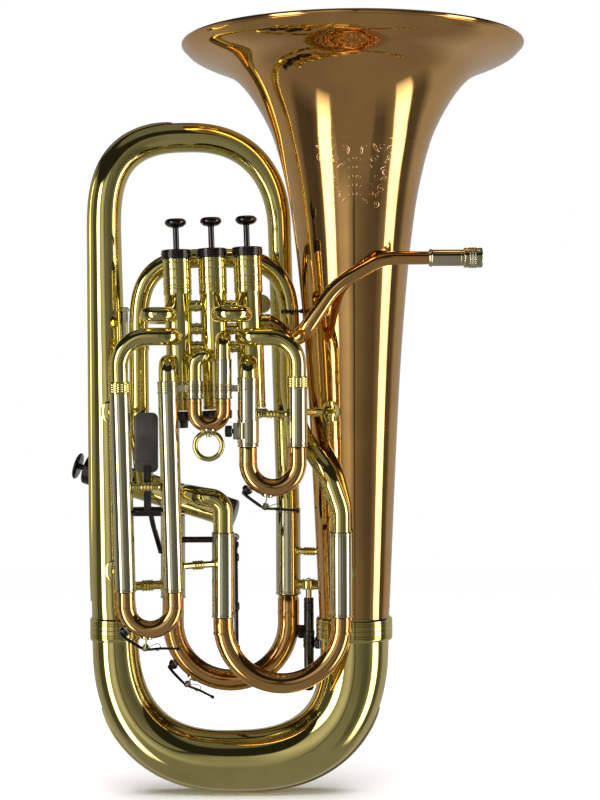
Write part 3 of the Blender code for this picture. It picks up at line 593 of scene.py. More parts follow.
def make_scrollwork():
    """Plain engraved scrolls on the front of the bell, as fine raised lines."""
    shell = Shell()

    def on_bell(across, height):
        reach = bell_radius(height) + 0.05
        turn = across / reach
        return Vector((BELL_X + reach * math.sin(turn), -reach * math.cos(turn), height))

    def stroke(flat, width=0.24):
        path = [on_bell(across, height) for across, height in flat]
        sweep(shell, [(point, width) for point in path], 6)

    def scroll(across, height, size, turns, start, way):
        flat = []
        steps = int(22 * turns)
        for step in range(steps + 1):
            share = step / steps
            swing = math.radians(start) + way * share * turns * 2 * math.pi
            reach = size * (1.0 - share) ** 0.8 + 0.25
            flat.append((across + reach * math.cos(swing), height + reach * math.sin(swing)))
        stroke(flat)

    def leaf(across, height, length, lean, fat):
        swing = math.radians(lean)
        along = Vector((math.cos(swing), math.sin(swing)))
        side = Vector((-along.y, along.x))
        for way in (-1, 1):
            flat = []
            for step in range(11):
                share = step / 10
                point = along * length * share + side * way * fat * math.sin(math.pi * share)
                flat.append((across + point.x, height + point.y))
            stroke(flat, 0.2)

    for side in (-1, 1):
        for across, height, size, turns, start, way in SCROLLS:
            first = start if side > 0 else 180 - start
            scroll(side * across, height, size, turns, first, way * side)
        for across, height, length, lean, fat in LEAVES:
            turned_lean = lean if side > 0 else 180 - lean
            leaf(side * across, height, length, turned_lean, fat)
        for step in range(5):
            height = 556.0 - step * 7.5
            flat = [(side * (1.2 + 0.8 * part), height + 1.6 * math.sin(part * 1.3)) for part in range(6)]
            stroke(flat, 0.2)
    shell.piece("bell_scrollwork", "body", ENGRAVED)


def make_ferrules():
    foot, height = BOW_DEPTH + 1.0, 20.0
    grooves = [(level, 1.1, -0.5) for level in (3.6, 5.6, 10.0, 14.4, 16.4)]
    for name, x, radius, wall in (("bell_ferrule", BELL_X, BOW_BORE[2], 3.5),
                                  ("branch_ferrule", BRANCH_X, BOW_BORE[0], 2.1)):
        shell = Shell()
        side = banded(radius + wall, 2.2, height - 2.2, grooves)
        profile = [(radius + 0.4, 0.0), (radius + wall * 0.6, 0.0), (radius + wall * 0.9, 1.3), *side,
                   (radius + wall * 0.9, height - 1.3), (radius + wall * 0.6, height), (radius + 0.4, height)]
        lathe(shell, profile, (x, 0, foot), sides=96)
        shell.piece(name + "_ring", "body", GOLD, name)


def bow_bore(angle):
    """Outer radius of the bottom bow, widening towards the bell."""
    return smooth_table(((180.0, BOW_BORE[0]), (270.0, BOW_BORE[1]), (360.0, BOW_BORE[2])), angle)


def bottom_bow_point(angle, inset):
    return squared_arc(BOW_LEFT, BOW_RIGHT, BOW_DEPTH, BOW_DEPTH, BOW_SQUARENESS, angle, inset)


def top_bow_point(angle, inset):
    left, right, middle_z, rise = TOP_BOW
    point = squared_arc(left, right, middle_z, rise, TOP_BOW_SQUARENESS[angle > 90.0], angle, inset)
    point.y = BACK_Y * (180.0 - angle) / 180.0
    return point


def top_bow_bore(angle):
    share = (180.0 - angle) / 180.0
    return 14.2 - 0.3 * share - 3.4 * share * share


def left_branch(height):
    """Centre and outer radius of the left branch at a height."""
    bore = top_bow_bore(180.0)
    rows = (*LEFT_BRANCH, (TOP_BOW[2], TOP_BOW[0] + bore + GUARD_REACH, bore))
    return (smooth_table([(z, x) for z, x, _ in rows], height),
            smooth_table([(z, radius) for z, _, radius in rows], height))


def make_bows():
    steps = 96
    route = [(Vector((BRANCH_X, 0, BOW_END)), BOW_BORE[0])]
    for step in range(steps + 1):
        angle = 180.0 + 180.0 * step / steps
        bore = bow_bore(angle)
        route.append((bottom_bow_point(angle, bore + GUARD_REACH), bore))
    route.append((Vector((BELL_X, 0, BOW_END)), BOW_BORE[2]))
    sweep(Shell(), route, 64, BOW_WALL).piece("bottom_bow_tube", "body", GOLD, "bottom_bow")

    low = LEFT_BRANCH[0][0]
    route = [(Vector((BRANCH_X, 0, 143.5)), BOW_BORE[0])]
    for step in range(20):
        height = low + (TOP_BOW[2] - low) * step / 20
        x, radius = left_branch(height)
        route.append((Vector((x, 0, height)), radius))
    for step in range(65):
        angle = 180.0 - 180.0 * step / 64
        bore = top_bow_bore(angle)
        route.append((top_bow_point(angle, bore + GUARD_REACH), bore))
    route.append((Vector((MAIN_X[1], BACK_Y, 251.5)), 10.4))
    sweep(Shell(), route, 48).piece("main_branch_tube", "body", GOLD, "main_branch")


def strip(shell, rows, half_width, thickness):
    """A crowned wear strip over (point, outward) rows, with rounded-off ends."""
    count = len(rows)
    section = ((-1.0, -0.7), (-1.0, 0.35), (-0.86, 0.72), (-0.45, 0.95), (0.0, 1.0),
               (0.45, 0.95), (0.86, 0.72), (1.0, 0.35), (1.0, -0.7))
    rings = []
    for index, (point, outward) in enumerate(rows):
        near_end = min(index, count - 1 - index)
        taper = min(1.0, 0.3 + 0.7 * math.sqrt(min(1.0, near_end / 5)))
        rings.append([point + Vector((0, across * half_width * taper, 0)) + outward * up * thickness * taper
                      for across, up in section])
    shell.loft(rings)


def make_guards():
    rows = []
    for step in range(73):
        angle = 202.5 + 135.0 * step / 72
        outward = bottom_bow_point(angle, 0.0) - bottom_bow_point(angle, 1.0)
        rows.append((bottom_bow_point(angle, GUARD_THICKNESS), outward))
    shell = Shell()
    strip(shell, rows, 5.0, GUARD_THICKNESS - 0.05)
    shell.piece("bottom_guard_strip", "body", GOLD, "bottom_guard")

    rows = []
    for step in range(41):
        angle = 96.0 + 84.0 * step / 40
        outward = top_bow_point(angle, 0.0) - top_bow_point(angle, 1.0)
        rows.append((top_bow_point(angle, GUARD_THICKNESS), outward))
    for step in range(1, 21):
        height = TOP_BOW[2] - (TOP_BOW[2] - LEFT_BRANCH[1][0]) * step / 20
        x, radius = left_branch(height)
        rows.append((Vector((x - radius - GAP, 0, height)), Vector((-1, 0, 0))))
    shell = Shell()
    strip(shell, rows, 5.0, GUARD_THICKNESS)
    shell.piece("side_guard_strip", "body", GOLD, "side_guard")


def make_leadpipe():
    mouth = Vector((167.6, -58.0, 471.2))
    corners = ((mouth.x - 0.4, mouth.y, mouth.z, 0, 5.6), (128.0, mouth.y, mouth.z, 42, 5.8),
               (88.0, mouth.y, 448.5, 60, 6.4), (62.0, -57, 410.5, 20, 7.0), (50.0, -47, 398.5, 12, 7.0),
               (38.0, -47.5, 410.5, 12, 7.2), (31.0, -50, 415.5, 0, 7.4), (21.0, -50, 415.5, 0, 7.4))
    sweep(Shell(), rounded_route(corners, 4.0), 40).piece("leadpipe_tube", "body", ROSE, "leadpipe")

    shell = Shell()
    outside = [(5.1, 0.0), (6.8, 0.0), *banded(7.1, 0.4, 29.6, [(1.8, 2.4, 0.7), (27.6, 0.8, -0.3)]),
               (8.3, 30.2), *banded(8.6, 30.8, 45.2, [(33.2, 1.0, -0.5), (35.4, 1.4, 0.3, 0.28),
                                                      (37.6, 1.4, 0.3, 0.28), (39.8, 1.4, 0.3, 0.28),
                                                      (42.2, 1.0, -0.5)]),
               (8.2, 45.8), (6.6, 45.8), (5.1, 25.0)]
    lathe(shell, outside, mouth, (1, 0, 0), 112, 28)
    shell.piece("mouthpiece_receiver_turned", "body", NICKEL, "mouthpiece_receiver")

    shell = Shell()
    stay(shell, (117.0, -52.6, 468.0), (117.0, -47.6, 464.6), 2.4, 5.0)
    shell.piece("leadpipe_bell_stay", "body", NICKEL)
    shell = Shell()
    collar(shell, (24.0, -50, 415.5), (1, 0, 0), 7.2, 8.3, 7.0, [(1.6, 0.8, -0.4), (5.4, 0.8, -0.4)])
    shell.piece("leadpipe_valve_ferrule", "body", GOLD)


# ---- valves ------------------------------------------------------------------------

def valve_place(number):
    """Origin on the top cap and the axis, up out of the valve."""
    if number == 4:
        axis = Vector(VALVE_4_AXIS).normalized()
        return Vector(VALVE_4_POINT) + axis * VALVE_4_TOP, axis
    x = VALVE_1[0] - VALVE_SPACING * (number - 1)
    z = VALVE_1[1] - VALVE_STEP_DOWN * (number - 1)
    return Vector((x, VALVE_Y, z)), Vector((-VALVE_LEAN, 0, 1)).normalized()


def valve_axis_x(number, z):
    top = VALVE_1[1] - VALVE_STEP_DOWN * (number - 1)
    return VALVE_1[0] - VALVE_SPACING * (number - 1) + (top - z) * VALVE_LEAN


def make_valve(number):
    origin, axis = valve_place(number)
    side_valve = number == 4
    grow = 1.3 if side_valve else 0.0
    foot = -129.7 if side_valve else -139.0
    lower = CASING_RADIUS + grow
    upper = lower if side_valve else CASING_UPPER_RADIUS
    bore = CASING_BORE + grow

    ridges = [(height, 1.3, -0.42) for height in (-11.1, -17.1, -24.9, -30.9, -33.4)]
    side = banded(upper, CASING_STEP, -8.2, ridges)
    shell = Shell()
    lathe(shell, [(bore, -8.2), *side[::-1], (upper - 0.25, CASING_STEP - 0.5), (lower, CASING_STEP - 1.0),
                  *banded(lower, foot, -70.0, [(foot + 2.0, 1.6, 0.45), (foot + 5.4, 0.9, -0.3)])[::-1],
                  (bore, foot)], origin, axis, 64)
    shell.piece(f"valve_casing_{number}_tube", "body", GOLD, f"valve_casing_{number}")

    rim = 13.4 + grow * 0.3
    knurl = [(height, 1.15, 0.28, 0.12) for height in (-6.6, -5.2, -3.8, -2.4)]
    shell = Shell()
    profile = [(3.9, -0.2), (7.5, -0.2), (7.9, 0.0), (rim - 1.2, 0.0), (rim - 0.5, -0.3), (rim - 0.15, -0.9),
               *banded(rim - 0.3, -7.4, -1.2, knurl)[::-1], (rim - 0.6, -7.8), (3.9, -7.8)]
    lathe(shell, profile, origin, axis, 144, 48)
    shell.piece(f"top_cap_{number}_knurled", "body", BLACK, f"top_cap_{number}")

    low = foot - 0.35
    edge = rim - 0.6
    knurl = [(height, 1.2, 0.25, 0.12) for height in (foot - 2.2, foot - 3.7, foot - 5.2)]
    profile = [(0.0, low), *banded(edge, foot - 7.4, low - 0.4, knurl)[::-1]]
    if side_valve:
        profile += [(edge, foot - 13.6), (edge - 0.8, foot - 14.6), (edge - 2.4, foot - 15.0),
                    (0.0, foot - 15.0)]
    else:
        profile += [(edge - 0.6, foot - 8.1), (6.4, foot - 9.0), (5.4, foot - 9.8), (5.2, foot - 14.0),
                    (4.6, foot - 15.0), (2.0, foot - 15.0), (1.8, foot - 13.4), (0.0, foot - 13.4)]
    shell = Shell()
    lathe(shell, profile, origin, axis, 144, 48)
    shell.piece(f"bottom_cap_{number}_knurled", "body", BLACK, f"bottom_cap_{number}")

    lift, thick, button = (6.6, 2.8, 12.2) if side_valve else (19.6, 7.4, 9.4)
    rounding = []
    for part in range(13):
        swing = math.radians(-78 + 156 * part / 12)
        half = thick / 2
        reach = button - half * (0.95 - 0.95 * math.cos(swing) + 0.45 * max(0.0, -math.sin(swing)))
        rounding.append((reach, lift + half + half * math.sin(swing)))
    top = lift + thick
    body = bore - 0.8
    profile = [(0.0, top - 0.75), (button - 4.6, top - 0.7), (button - 3.9, top - 0.1), *rounding[::-1],
               (STEM_RADIUS + 0.9, lift + 0.25), (STEM_RADIUS + 0.2, lift - 0.5),
               (STEM_RADIUS, lift - 1.2), (STEM_RADIUS, -11.0),
               (body, -12.0), (body, -104.0), (0.0, -104.0)]
    shell = Shell()
    lathe(shell, profile, origin, axis, 56)
    shell.piece(f"piston_{number}_button_stem", f"piston_{number}", BLACK, f"piston_{number}")

    shell = Shell()
    hole = STEM_RADIUS + 0.5
    lathe(shell, ((hole, 0.25), (6.6, 0.25), (7.0, -0.1), (7.0, -0.8), (hole, -0.8)), origin, axis, 40)
    shell.piece(f"stem_felt_{number}", "body", RUBBER_AND_GAP_SHADE)


def make_knuckles():
    """Crossover tubes between the casings, and the bows in front of them."""
    shell = Shell()
    reach = CASING_RADIUS - 0.95
    for height in KNUCKLE_HEIGHTS:
        for number in (1, 2):
            right = Vector((valve_axis_x(number, height) - reach, VALVE_Y, height))
            left = Vector((valve_axis_x(number + 1, height) + reach, VALVE_Y, height))
            sweep(shell, [(left, KNUCKLE_TUBE), (right, KNUCKLE_TUBE)], 32)
            collar(shell, (left + right) / 2 - Vector((1.1, 0, 0)), (1, 0, 0), KNUCKLE_TUBE - 0.4,
                   KNUCKLE_TUBE + 0.55, 2.2)
    shell.piece("valve_knuckles", "body", GOLD)

    z, tube, left, right, front, back, bend = 422.5, 7.0, -12.1, 8.9, -85.0, -60.4, 10.4
    corners = ((left, back, z, 0, tube), (left, front, z, bend, tube),
               (right, front, z, bend, tube), (right, back, z, 0, tube))
    sweep(Shell(), rounded_route(corners), 40).piece("front_knuckle_tube", "body", GOLD, "front_knuckle")

    z, tube, bend, front, back = 422.3, 6.2, 9.5, -83.0, -25.0
    near, far = valve_axis_x(3, z) - 6.0, valve_axis_x(3, z) - 25.2
    corners = ((near, -59.2, z, 0, tube), (near, front, z, bend, tube), (far, front, z, bend, tube),
               (far, back, z, bend, tube), (near, back, z, bend, tube), (near, -41.0, z, 0, tube))
    sweep(Shell(), rounded_route(corners), 40).piece(
        "third_compensating_tube", "body", GOLD, "third_compensating_loop")

    shell = Shell()
    x, z, tube = 23.0, 433.4, 8.0
    sweep(shell, [(Vector((x, -39.4, z)), tube), (Vector((x, -20.0, z)), tube)], 40)
    ball(shell, (x, -20.0, z), tube, (0, 1, 0), 0.4)
    shell.piece("first_back_knuckle", "body", GOLD)


# ---- fixed tubing ------------------------------------------------------------------

def sleeve(shell, top, end, radius, inner, rings=(), sides=48):
    """A slide sleeve running down from top to end with a beaded lip at its mouth."""
    top, end = Vector(top), Vector(end)
    length = (end - top).length
    bands = [*rings, (length - 2.2, 0.9, -0.25)]
    side = banded(radius, 0.3, length - 1.3, bands)
    profile = [(inner, 0.0), (radius - 0.3, 0.0), *side, (radius + 0.45, length - 1.1),
               (radius + 0.5, length - 0.5), (radius + 0.2, length), (inner, length)]
    return lathe(shell, profile, top, end - top, sides)


def ferrule(shell, top, down, radius, length, engraved=False):
    """A banded joint ring at the head of a sleeve."""
    ends = [(0.9, 1.2, 0.35), (length - 0.9, 1.2, 0.35)]
    if engraved:
        middle = [(length * share, length * 0.13, 0.1, 0.3) for share in (0.24, 0.42, 0.60, 0.78)]
    else:
        middle = [(length * share, 0.8, -0.3) for share in (0.28, 0.42, 0.58, 0.72)]
    collar(shell, top, down, radius - 1.0, radius, length, [*ends, *middle], 0.3, 96, 24)


def gap_shade_ring(shell, centre, axis, radius):
    """A ring of painted shade: a dark torus in the shaded gap where a slide enters its sleeve."""
    hoop(shell, centre, axis, radius, 0.55, 48, 10)


def third_x(side, z):
    return THIRD_X + side * THIRD_HALF - (z - THIRD_ARC_Z) * THIRD_LEAN


def make_front_loops():
    lean = Vector((THIRD_LEAN, 0, -1)).normalized()
    first_left, first_right = FIRST_X
    left3, right3 = third_x(-1, 403.7), third_x(1, 381.0)
    legs = (
        ("first_inlet", [(first_left, -60.4, 381.0, 0, 0), (first_left, FRONT_Y, 381.0, 11, 0),
                         (first_left, FRONT_Y, 359.0, 0, 0)], 368.6, FIRST_MOUTH, DOWN, False),
        ("first_outlet", [(8.5, -59.6, 403.3, 0, 0), (8.5, FRONT_Y, 403.3, 11, 0),
                          (first_right, FRONT_Y, 403.3, 24, 0), (first_right, FRONT_Y, 359.0, 0, 0)],
         369.6, FIRST_MOUTH, DOWN, True),
        ("third_inlet", [(right3, -56.0, 381.0, 0, 0), (right3, FRONT_Y, 381.0, 11, 0),
                         (third_x(1, 355.0), FRONT_Y, 355.0, 0, 0)], 365.6, THIRD_MOUTH, lean, False),
        ("third_outlet", [(-51.5, -60.0, 403.7, 0, 0), (-51.5, FRONT_Y, 403.7, 11, 0),
                          (left3, FRONT_Y, 403.7, 25, 0), (third_x(-1, 355.0), FRONT_Y, 355.0, 0, 0)],
         365.2, THIRD_MOUTH, lean, True))
    # dark rings of painted shade in the gaps where the slides enter their sleeves
    rubber = Shell()
    for name, corners, head, mouth, along, engraved in legs:
        route = rounded_route([(*corner[:4], LOOP_TUBE) for corner in corners])
        sweep(Shell(), route, 44).piece(name + "_bend", "body", GOLD, name)
        end_x = corners[-1][0]
        last_z = corners[-1][2]

        def leg(z):
            return Vector((end_x + (last_z - z) * (THIRD_LEAN if along is lean else 0.0), FRONT_Y, z))

        sleeve(Shell(), leg(head - 9.5), leg(mouth), LOOP_SLEEVE, LOOP_TUBE - 0.2, sides=56).piece(
            name + "_sleeve", "body", NICKEL)
        shell = Shell()
        ferrule(shell, leg(head), along, LOOP_SLEEVE + 0.35, 10.6, engraved)
        shell.piece(name + "_ferrule", "body", GOLD if engraved else NICKEL)
        gap_shade_ring(rubber, leg(mouth + 0.1), along, LOOP_SLEEVE - 0.35)

    second = (
        ("second_inlet", [(-22.3, -58.6, 388.0, 0, 0), (-22.3, FRONT_Y, 388.0, 10, 0),
                          (SECOND_X[0], FRONT_Y, 385.0, 9, 0), (SECOND_X[0], FRONT_Y, 360.0, 0, 0)], 366.0),
        ("second_outlet", [(SECOND_X[1], -57.0, 403.0, 0, 0), (SECOND_X[1], FRONT_Y, 403.0, 10, 0),
                           (SECOND_X[1], FRONT_Y, 370.0, 0, 0)], 384.5))
    for name, corners, head in second:
        route = rounded_route([(*corner[:4], SECOND_TUBE) for corner in corners])
        sweep(Shell(), route, 40).piece(name + "_bend", "body", GOLD, name)
        x = corners[-1][0]
        shell = Shell()
        sleeve(shell, (x, FRONT_Y, head), (x, FRONT_Y, SECOND_MOUTH), SECOND_SLEEVE, SECOND_TUBE - 0.2,
               [(1.4, 1.2, 0.3)], 48)
        ferrule(shell, (x, FRONT_Y, 363.0), DOWN, SECOND_SLEEVE + 0.3, 7.0)
        shell.piece(name + "_sleeve", "body", NICKEL)
        gap_shade_ring(rubber, (x, FRONT_Y, SECOND_MOUTH + 0.1), DOWN, SECOND_SLEEVE - 0.35)
    rubber.piece("front_slide_gap_shade_rings", "body", RUBBER_AND_GAP_SHADE)

    shell = Shell()
    for start, end in ((third_x(1, 359.0) + LOOP_SLEEVE - 1.0, SECOND_X[0] - SECOND_SLEEVE + 1.0),
                       (SECOND_X[1] + SECOND_SLEEVE - 1.0, first_left - LOOP_SLEEVE + 1.0)):
        centre = Matrix.Translation(((start + end) / 2, FRONT_Y, 359.5))
        slab(shell, (end - start, 5.5, 5.6), centre, 0.8)
        slab(shell, (end - start - 1.2, 6.5, 2.2), centre, 0.6)
    shell.piece("front_loop_bridges", "body", NICKEL)


def make_back_loops():
    """Bends of the fourth slide, the bow behind the valves, and the back sleeves."""
    tube, foot = FOURTH_BEND_TUBE, 228.0
    inlet = [(-46.0, 10.0, 265.0, 0, tube), (-43.0, -26.0, 267.5, 24, tube),
             (-28.0, FOURTH_Y, 265.5, 14, tube), (FOURTH_X[0], FOURTH_Y, 263.0, 12, tube),
             (FOURTH_X[0], FOURTH_Y, foot, 0, tube)]
    sweep(Shell(), rounded_route(inlet), 40).piece("fourth_inlet_bend", "body", GOLD, "fourth_inlet")
    bow_x, bow_y, bow_z = 47.5, -5.0, 398.0
    back = [(bow_x, bow_y, bow_z, 0, tube), (bow_x, bow_y, 352.0, 60, tube), (57.0, -20.0, 320.0, 60, tube),
            (81.0, FOURTH_Y + 2.0, 284.0, 45, tube), (FOURTH_X[1], FOURTH_Y, 254.0, 35, tube),
            (FOURTH_X[1], FOURTH_Y, foot, 0, tube)]
    sweep(Shell(), rounded_route(back, 3.0), 40).piece("fourth_return_bend", "body", GOLD, "fourth_return")
    left_x = bow_x - RETURN_BOW_SPAN
    route = [(Vector((bow_x, bow_y, bow_z - 1.0)), tube)]
    for step in range(73):
        point = squared_arc(left_x - tube, bow_x + tube, bow_z + 10.5, RETURN_BOW_RISE, RETURN_BOW_SQUARENESS,
                            180.0 * step / 72, tube)
        route.append((point + Vector((0, bow_y, 0)), tube))
    tail = rounded_route(((left_x, bow_y, bow_z + 2.0, 0, tube), (left_x + 0.7, bow_y, 318.0, 40, tube),
                          (left_x + 2.2, 24.0, 277.7, 0, tube)))
    sweep(Shell(), [*route, *tail], 40).piece("return_bow_tube", "body", GOLD, "return_bow")

    # dark rings of painted shade in the gaps at the sleeves' mouths and in the joints at their heads
    rubber = Shell()
    fourth = (FOURTH_Y, 234.7, FOURTH_MOUTH, FOURTH_SLEEVE, 8.2)
    for name, nodes, x, (y, head, mouth, radius, inner) in (
            ("fourth_left_sleeve", (), FOURTH_X[0], fourth),
            ("fourth_right_sleeve", (), FOURTH_X[1], fourth),
            ("main_left_sleeve", ("main_sleeve_left",), MAIN_X[0],
             (BACK_Y, 245.8, MAIN_MOUTH, MAIN_SLEEVE, 9.5)),
            ("main_right_sleeve", ("main_sleeve_right",), MAIN_X[1],
             (BACK_Y, 251.0, 174.0, MAIN_SLEEVE, 9.5))):
        rings = [(1.2, 1.3, 0.35), (3.0, 0.8, -0.25)]
        sleeve(Shell(), (x, y, head), (x, y, mouth), radius, inner, rings, 56).piece(
            name + "_tube", "body", NICKEL, *nodes)
        gap_shade_ring(rubber, (x, y, mouth + 0.1), DOWN, radius - 0.35)
        # a dark ring of painted shade in the joint where the bend meets the sleeve's head
        hoop(rubber, (x, y, head - 0.2), DOWN, radius - 0.5, 0.5, 48, 10)
    rubber.piece("back_slide_gap_shade_rings", "body", RUBBER_AND_GAP_SHADE)

    shell = Shell()
    for x, z in ((bow_x, bow_z - 6.0), (left_x, bow_z - 4.0)):
        collar(shell, (x, bow_y, z), (0, 0, 1), tube - 0.3, tube + 1.0, 12.0,
               [(height, 0.9, -0.4) for height in (1.8, 3.4, 8.6, 10.2)])
    shell.piece("return_bow_ferrules", "body", GOLD)


# ---- sliding crooks ----------------------------------------------------------------

def crook_route(left, right, y, arc_z, tube, tops, mouth, lean):
    inner = tube * 0.93
    radius = (right - left) / 2

    def leg(x, z):
        return Vector((x - (z - arc_z) * lean, y, z))

    step = mouth - 1.4
    route = [(leg(left, tops[0]), inner), (leg(left, step + 1.0), inner), (leg(left, step), tube)]
    route += [(point, tube) for point in arc_points(((left + right) / 2, y, arc_z), radius, 180, 360, 40)]
    route += [(leg(right, step), tube), (leg(right, step + 1.0), inner), (leg(right, tops[1]), inner)]
    return route, leg


def make_crook(name, legs, y, arc_z, tube, tops, mouth, seam, lean):
    """A slide's bow and legs, thinner inside the sleeves, with a ring over each seam."""
    left, right = legs
    route, leg = crook_route(left, right, y, arc_z, tube, tops, mouth, lean)
    shell = sweep(Shell(), route, 48)
    for x in (left, right):
        along = leg(x, seam) - leg(x, seam + 1.0)
        collar(shell, leg(x, seam + 1.2), along, tube - 0.5, tube + 0.28, 2.2, [(1.1, 0.7, -0.35)], 0.25, 48)
    shell.piece(name + "_crook", name, ROSE, name)


def make_slides():
    third = (THIRD_X - THIRD_HALF, THIRD_X + THIRD_HALF)
    for name, legs, y, arc_z, tube, tops, mouth, seam, lean in (
            ("first", FIRST_X, FRONT_Y, FIRST_ARC_Z, LOOP_TUBE, (350, 350), FIRST_MOUTH, 294.6, 0.0),
            ("second", SECOND_X, FRONT_Y, SECOND_ARC_Z, SECOND_TUBE, (369, 369), SECOND_MOUTH, 346.4, 0.0),
            ("third", third, FRONT_Y, THIRD_ARC_Z, LOOP_TUBE, (300, 300), THIRD_MOUTH, 173.4, THIRD_LEAN),
            ("fourth", FOURTH_X, FOURTH_Y, FOURTH_ARC_Z, FOURTH_TUBE, (225, 225), FOURTH_MOUTH, 147.4, 0.0),
            ("main", MAIN_X, BACK_Y, MAIN_ARC_Z, MAIN_TUBE, (238, 242), MAIN_MOUTH, 157.2, 0.0)):
        make_crook(name + "_slide", legs, y, arc_z, tube, tops, mouth, seam, lean)

    middle = (SECOND_X[0] + SECOND_X[1]) / 2
    shell = Shell()
    hoop(shell, (-21.4, FRONT_Y, 311.0), (0, 1, 0), 11.5, 2.15, 72, 16)
    shell.piece("second_slide_pull_ring", "second_slide", GOLD)
    shell = Shell()
    lathe(shell, eased([(0.0, 0.0), (6.6, 0.0), (5.6, 2.4), (2.8, 4.4), (2.2, 7.0), (0.0, 7.0)], 0.6),
          (middle, FRONT_Y, SECOND_ARC_Z - 15.2), (0, 0, -1), 36)
    shell.piece("second_slide_ring_saddle", "second_slide", NICKEL)


# ---- stays -------------------------------------------------------------------------

def stay(shell, start, end, rod=2.8, foot=4.4):
    """A round rod with two pairs of beads and a stepped foot at each end."""
    first, last = Vector(start), Vector(end)
    length = (last - first).length
    half = length / 2
    beads = [(half + shift, 1.6, 1.15) for shift in (-4.2, -1.4, 1.4, 4.2) if half > 6.0]
    foot_high = min(3.0, length * 0.2)
    profile = [(0.0, 0.0), (foot, 0.0), (foot, 0.7), (foot * 0.72, 1.1), (foot * 0.6, foot_high * 0.7),
               (rod, foot_high), *banded(rod, foot_high + 0.3, length - foot_high - 0.3, beads),
               (rod, length - foot_high), (foot * 0.6, length - foot_high * 0.7), (foot * 0.72, length - 1.1),
               (foot, length - 0.7), (foot, length), (0.0, length)]
    lathe(shell, profile, first, last - first, 36)
    return shell


def between(first, second, z):
    """Ends of a level stay let into two upright tubes, each given as (x, y, radius)."""
    start, end = Vector((first[0], first[1], z)), Vector((second[0], second[1], z))
    along = (end - start).normalized()
    return start + along * (first[2] - 0.3), end - along * (second[2] - 0.3)


def pad(shell, tube, aim, z, size=9.6):
    """A round flange bent over an upright tube, on the side that faces aim."""
    rings = []
    profile = ((0.0, 1.1), (0.5, 1.1), (0.93, 1.0), (1.0, 0.6), (1.0, -0.4), (0.5, -0.4), (0.0, -0.4))
    for share, high in profile:
        ring = []
        for part in range(40 if share else 1):
            turn = 2 * math.pi * part / 40
            level = z + size * share * math.sin(turn)
            x, radius = tube(level)
            swing = math.atan2(aim[1], aim[0] - x) + size * share * math.cos(turn) / radius
            ring.append((x + (radius + high) * math.cos(swing), (radius + high) * math.sin(swing), level))
        rings.append(ring)
    shell.loft(rings)


def third_leg(side, z):
    return (third_x(side, z), FRONT_Y, LOOP_SLEEVE)


def bell_leg(z):
    return (BELL_X, 0.0, bell_radius(z))


def make_stays():
    first_left, first_right = [(x, FRONT_Y, LOOP_SLEEVE) for x in FIRST_X]
    main_left, main_right = [(x, BACK_Y, MAIN_SLEEVE) for x in MAIN_X]
    branch_x, branch_radius = left_branch(183.0)
    for name, one, other, z, rod in (
            ("brace_third", third_leg(-1, 276.0), third_leg(1, 276.0), 276.0, 2.8),
            ("brace_first", first_left, first_right, 337.5, 2.8),
            ("brace_first_bell", first_right, bell_leg(339.0), 339.0, 2.8),
            ("brace_third_fourth", third_leg(1, 208.0), (FOURTH_X[0], FOURTH_Y, FOURTH_SLEEVE), 208.0, 2.8),
            ("brace_main_bell", main_right, bell_leg(213.0), 213.0, 2.8),
            ("brace_main_left", (branch_x, 0.0, branch_radius), main_left, 183.0, 4.0)):
        stay(Shell(), *between(one, other, z), rod, rod + 1.6).piece(name + "_rod", "body", GOLD, name)


def make_branch_stays():
    def bell_tube(z):
        return BELL_X, bell_radius(z)

    shell = Shell()
    fourth = (FOURTH_X[1], FOURTH_Y, FOURTH_SLEEVE)
    for tube, leg, z in ((left_branch, third_leg(-1, 339.7), 339.7),
                         (left_branch, third_leg(-1, 199.3), 199.3), (bell_tube, fourth, 199.2)):
        x, radius = tube(z)
        pad(shell, tube, leg, z)
        stay(shell, *between(leg, (x, 0.0, radius), z), 2.4, 4.2)
    pad(shell, bell_tube, (FIRST_X[1], FRONT_Y, LOOP_SLEEVE), 339.0)
    shell.piece("branch_stays", "body", GOLD)


def make_damper_stay():
    """The stay that holds the damper's rod, with its rubber pad on the bell."""
    shell = Shell()
    z = 183.0
    centre = Vector((*DAMPER, z))
    first, last = between((MAIN_X[1], BACK_Y, MAIN_SLEEVE), bell_leg(z), z)
    collar(shell, centre - Vector((0, 0, 4.2)), (0, 0, 1), 2.5, 7.0, 8.4, [(4.2, 5.2, 0.35)], 1.0, 48)
    for end in (first, last):
        way = (end - centre).normalized()
        stay(shell, centre + way * 4.2, end + way * 0.4, 4.2, 5.0)
    shell.piece("brace_damper_clamp", "body", GOLD, "brace_damper")
    shell = Shell()
    way = (last - first).normalized()
    lathe(shell, eased([(0.0, -1.0), (7.2, -1.0), (7.2, 1.2), (0.0, 1.2)], 0.6), last, way, 32)
    shell.piece("brace_damper_pad", "body", RUBBER_AND_GAP_SHADE)
    shell = Shell()
    rod = [(0.0, 188.6), (1.8, 188.6), (2.2, 188.2), (2.2, 187.2), (2.7, 187.0), (2.7, 112.0), (0.0, 112.0)]
    lathe(shell, rod, (*DAMPER, 0.0), (0, 0, 1), 32)
    shell.piece("damper_rod_bar", "body", NICKEL)


def make_small_stays():
    shell = Shell()
    slab(shell, (4.6, 7.0, 34.0), Matrix.Translation((-98.4, -4.6, 412.0)), 1.2)
    slab(shell, (6.4, 9.0, 5.0), Matrix.Translation((-98.4, -4.6, 430.0)), 1.2)
    shell.piece("branch_saddle_plate", "body", NICKEL)
    shell = Shell()
    stay(shell, (40.5, -15.5, 427.5), (58.0, -21.5, 427.5), 0.9, 1.9)
    ball(shell, (58.0, -21.5, 427.5), 2.0)
    shell.piece("bow_bell_stay", "body", BLACK)


# ---- damper and trigger ------------------------------------------------------------

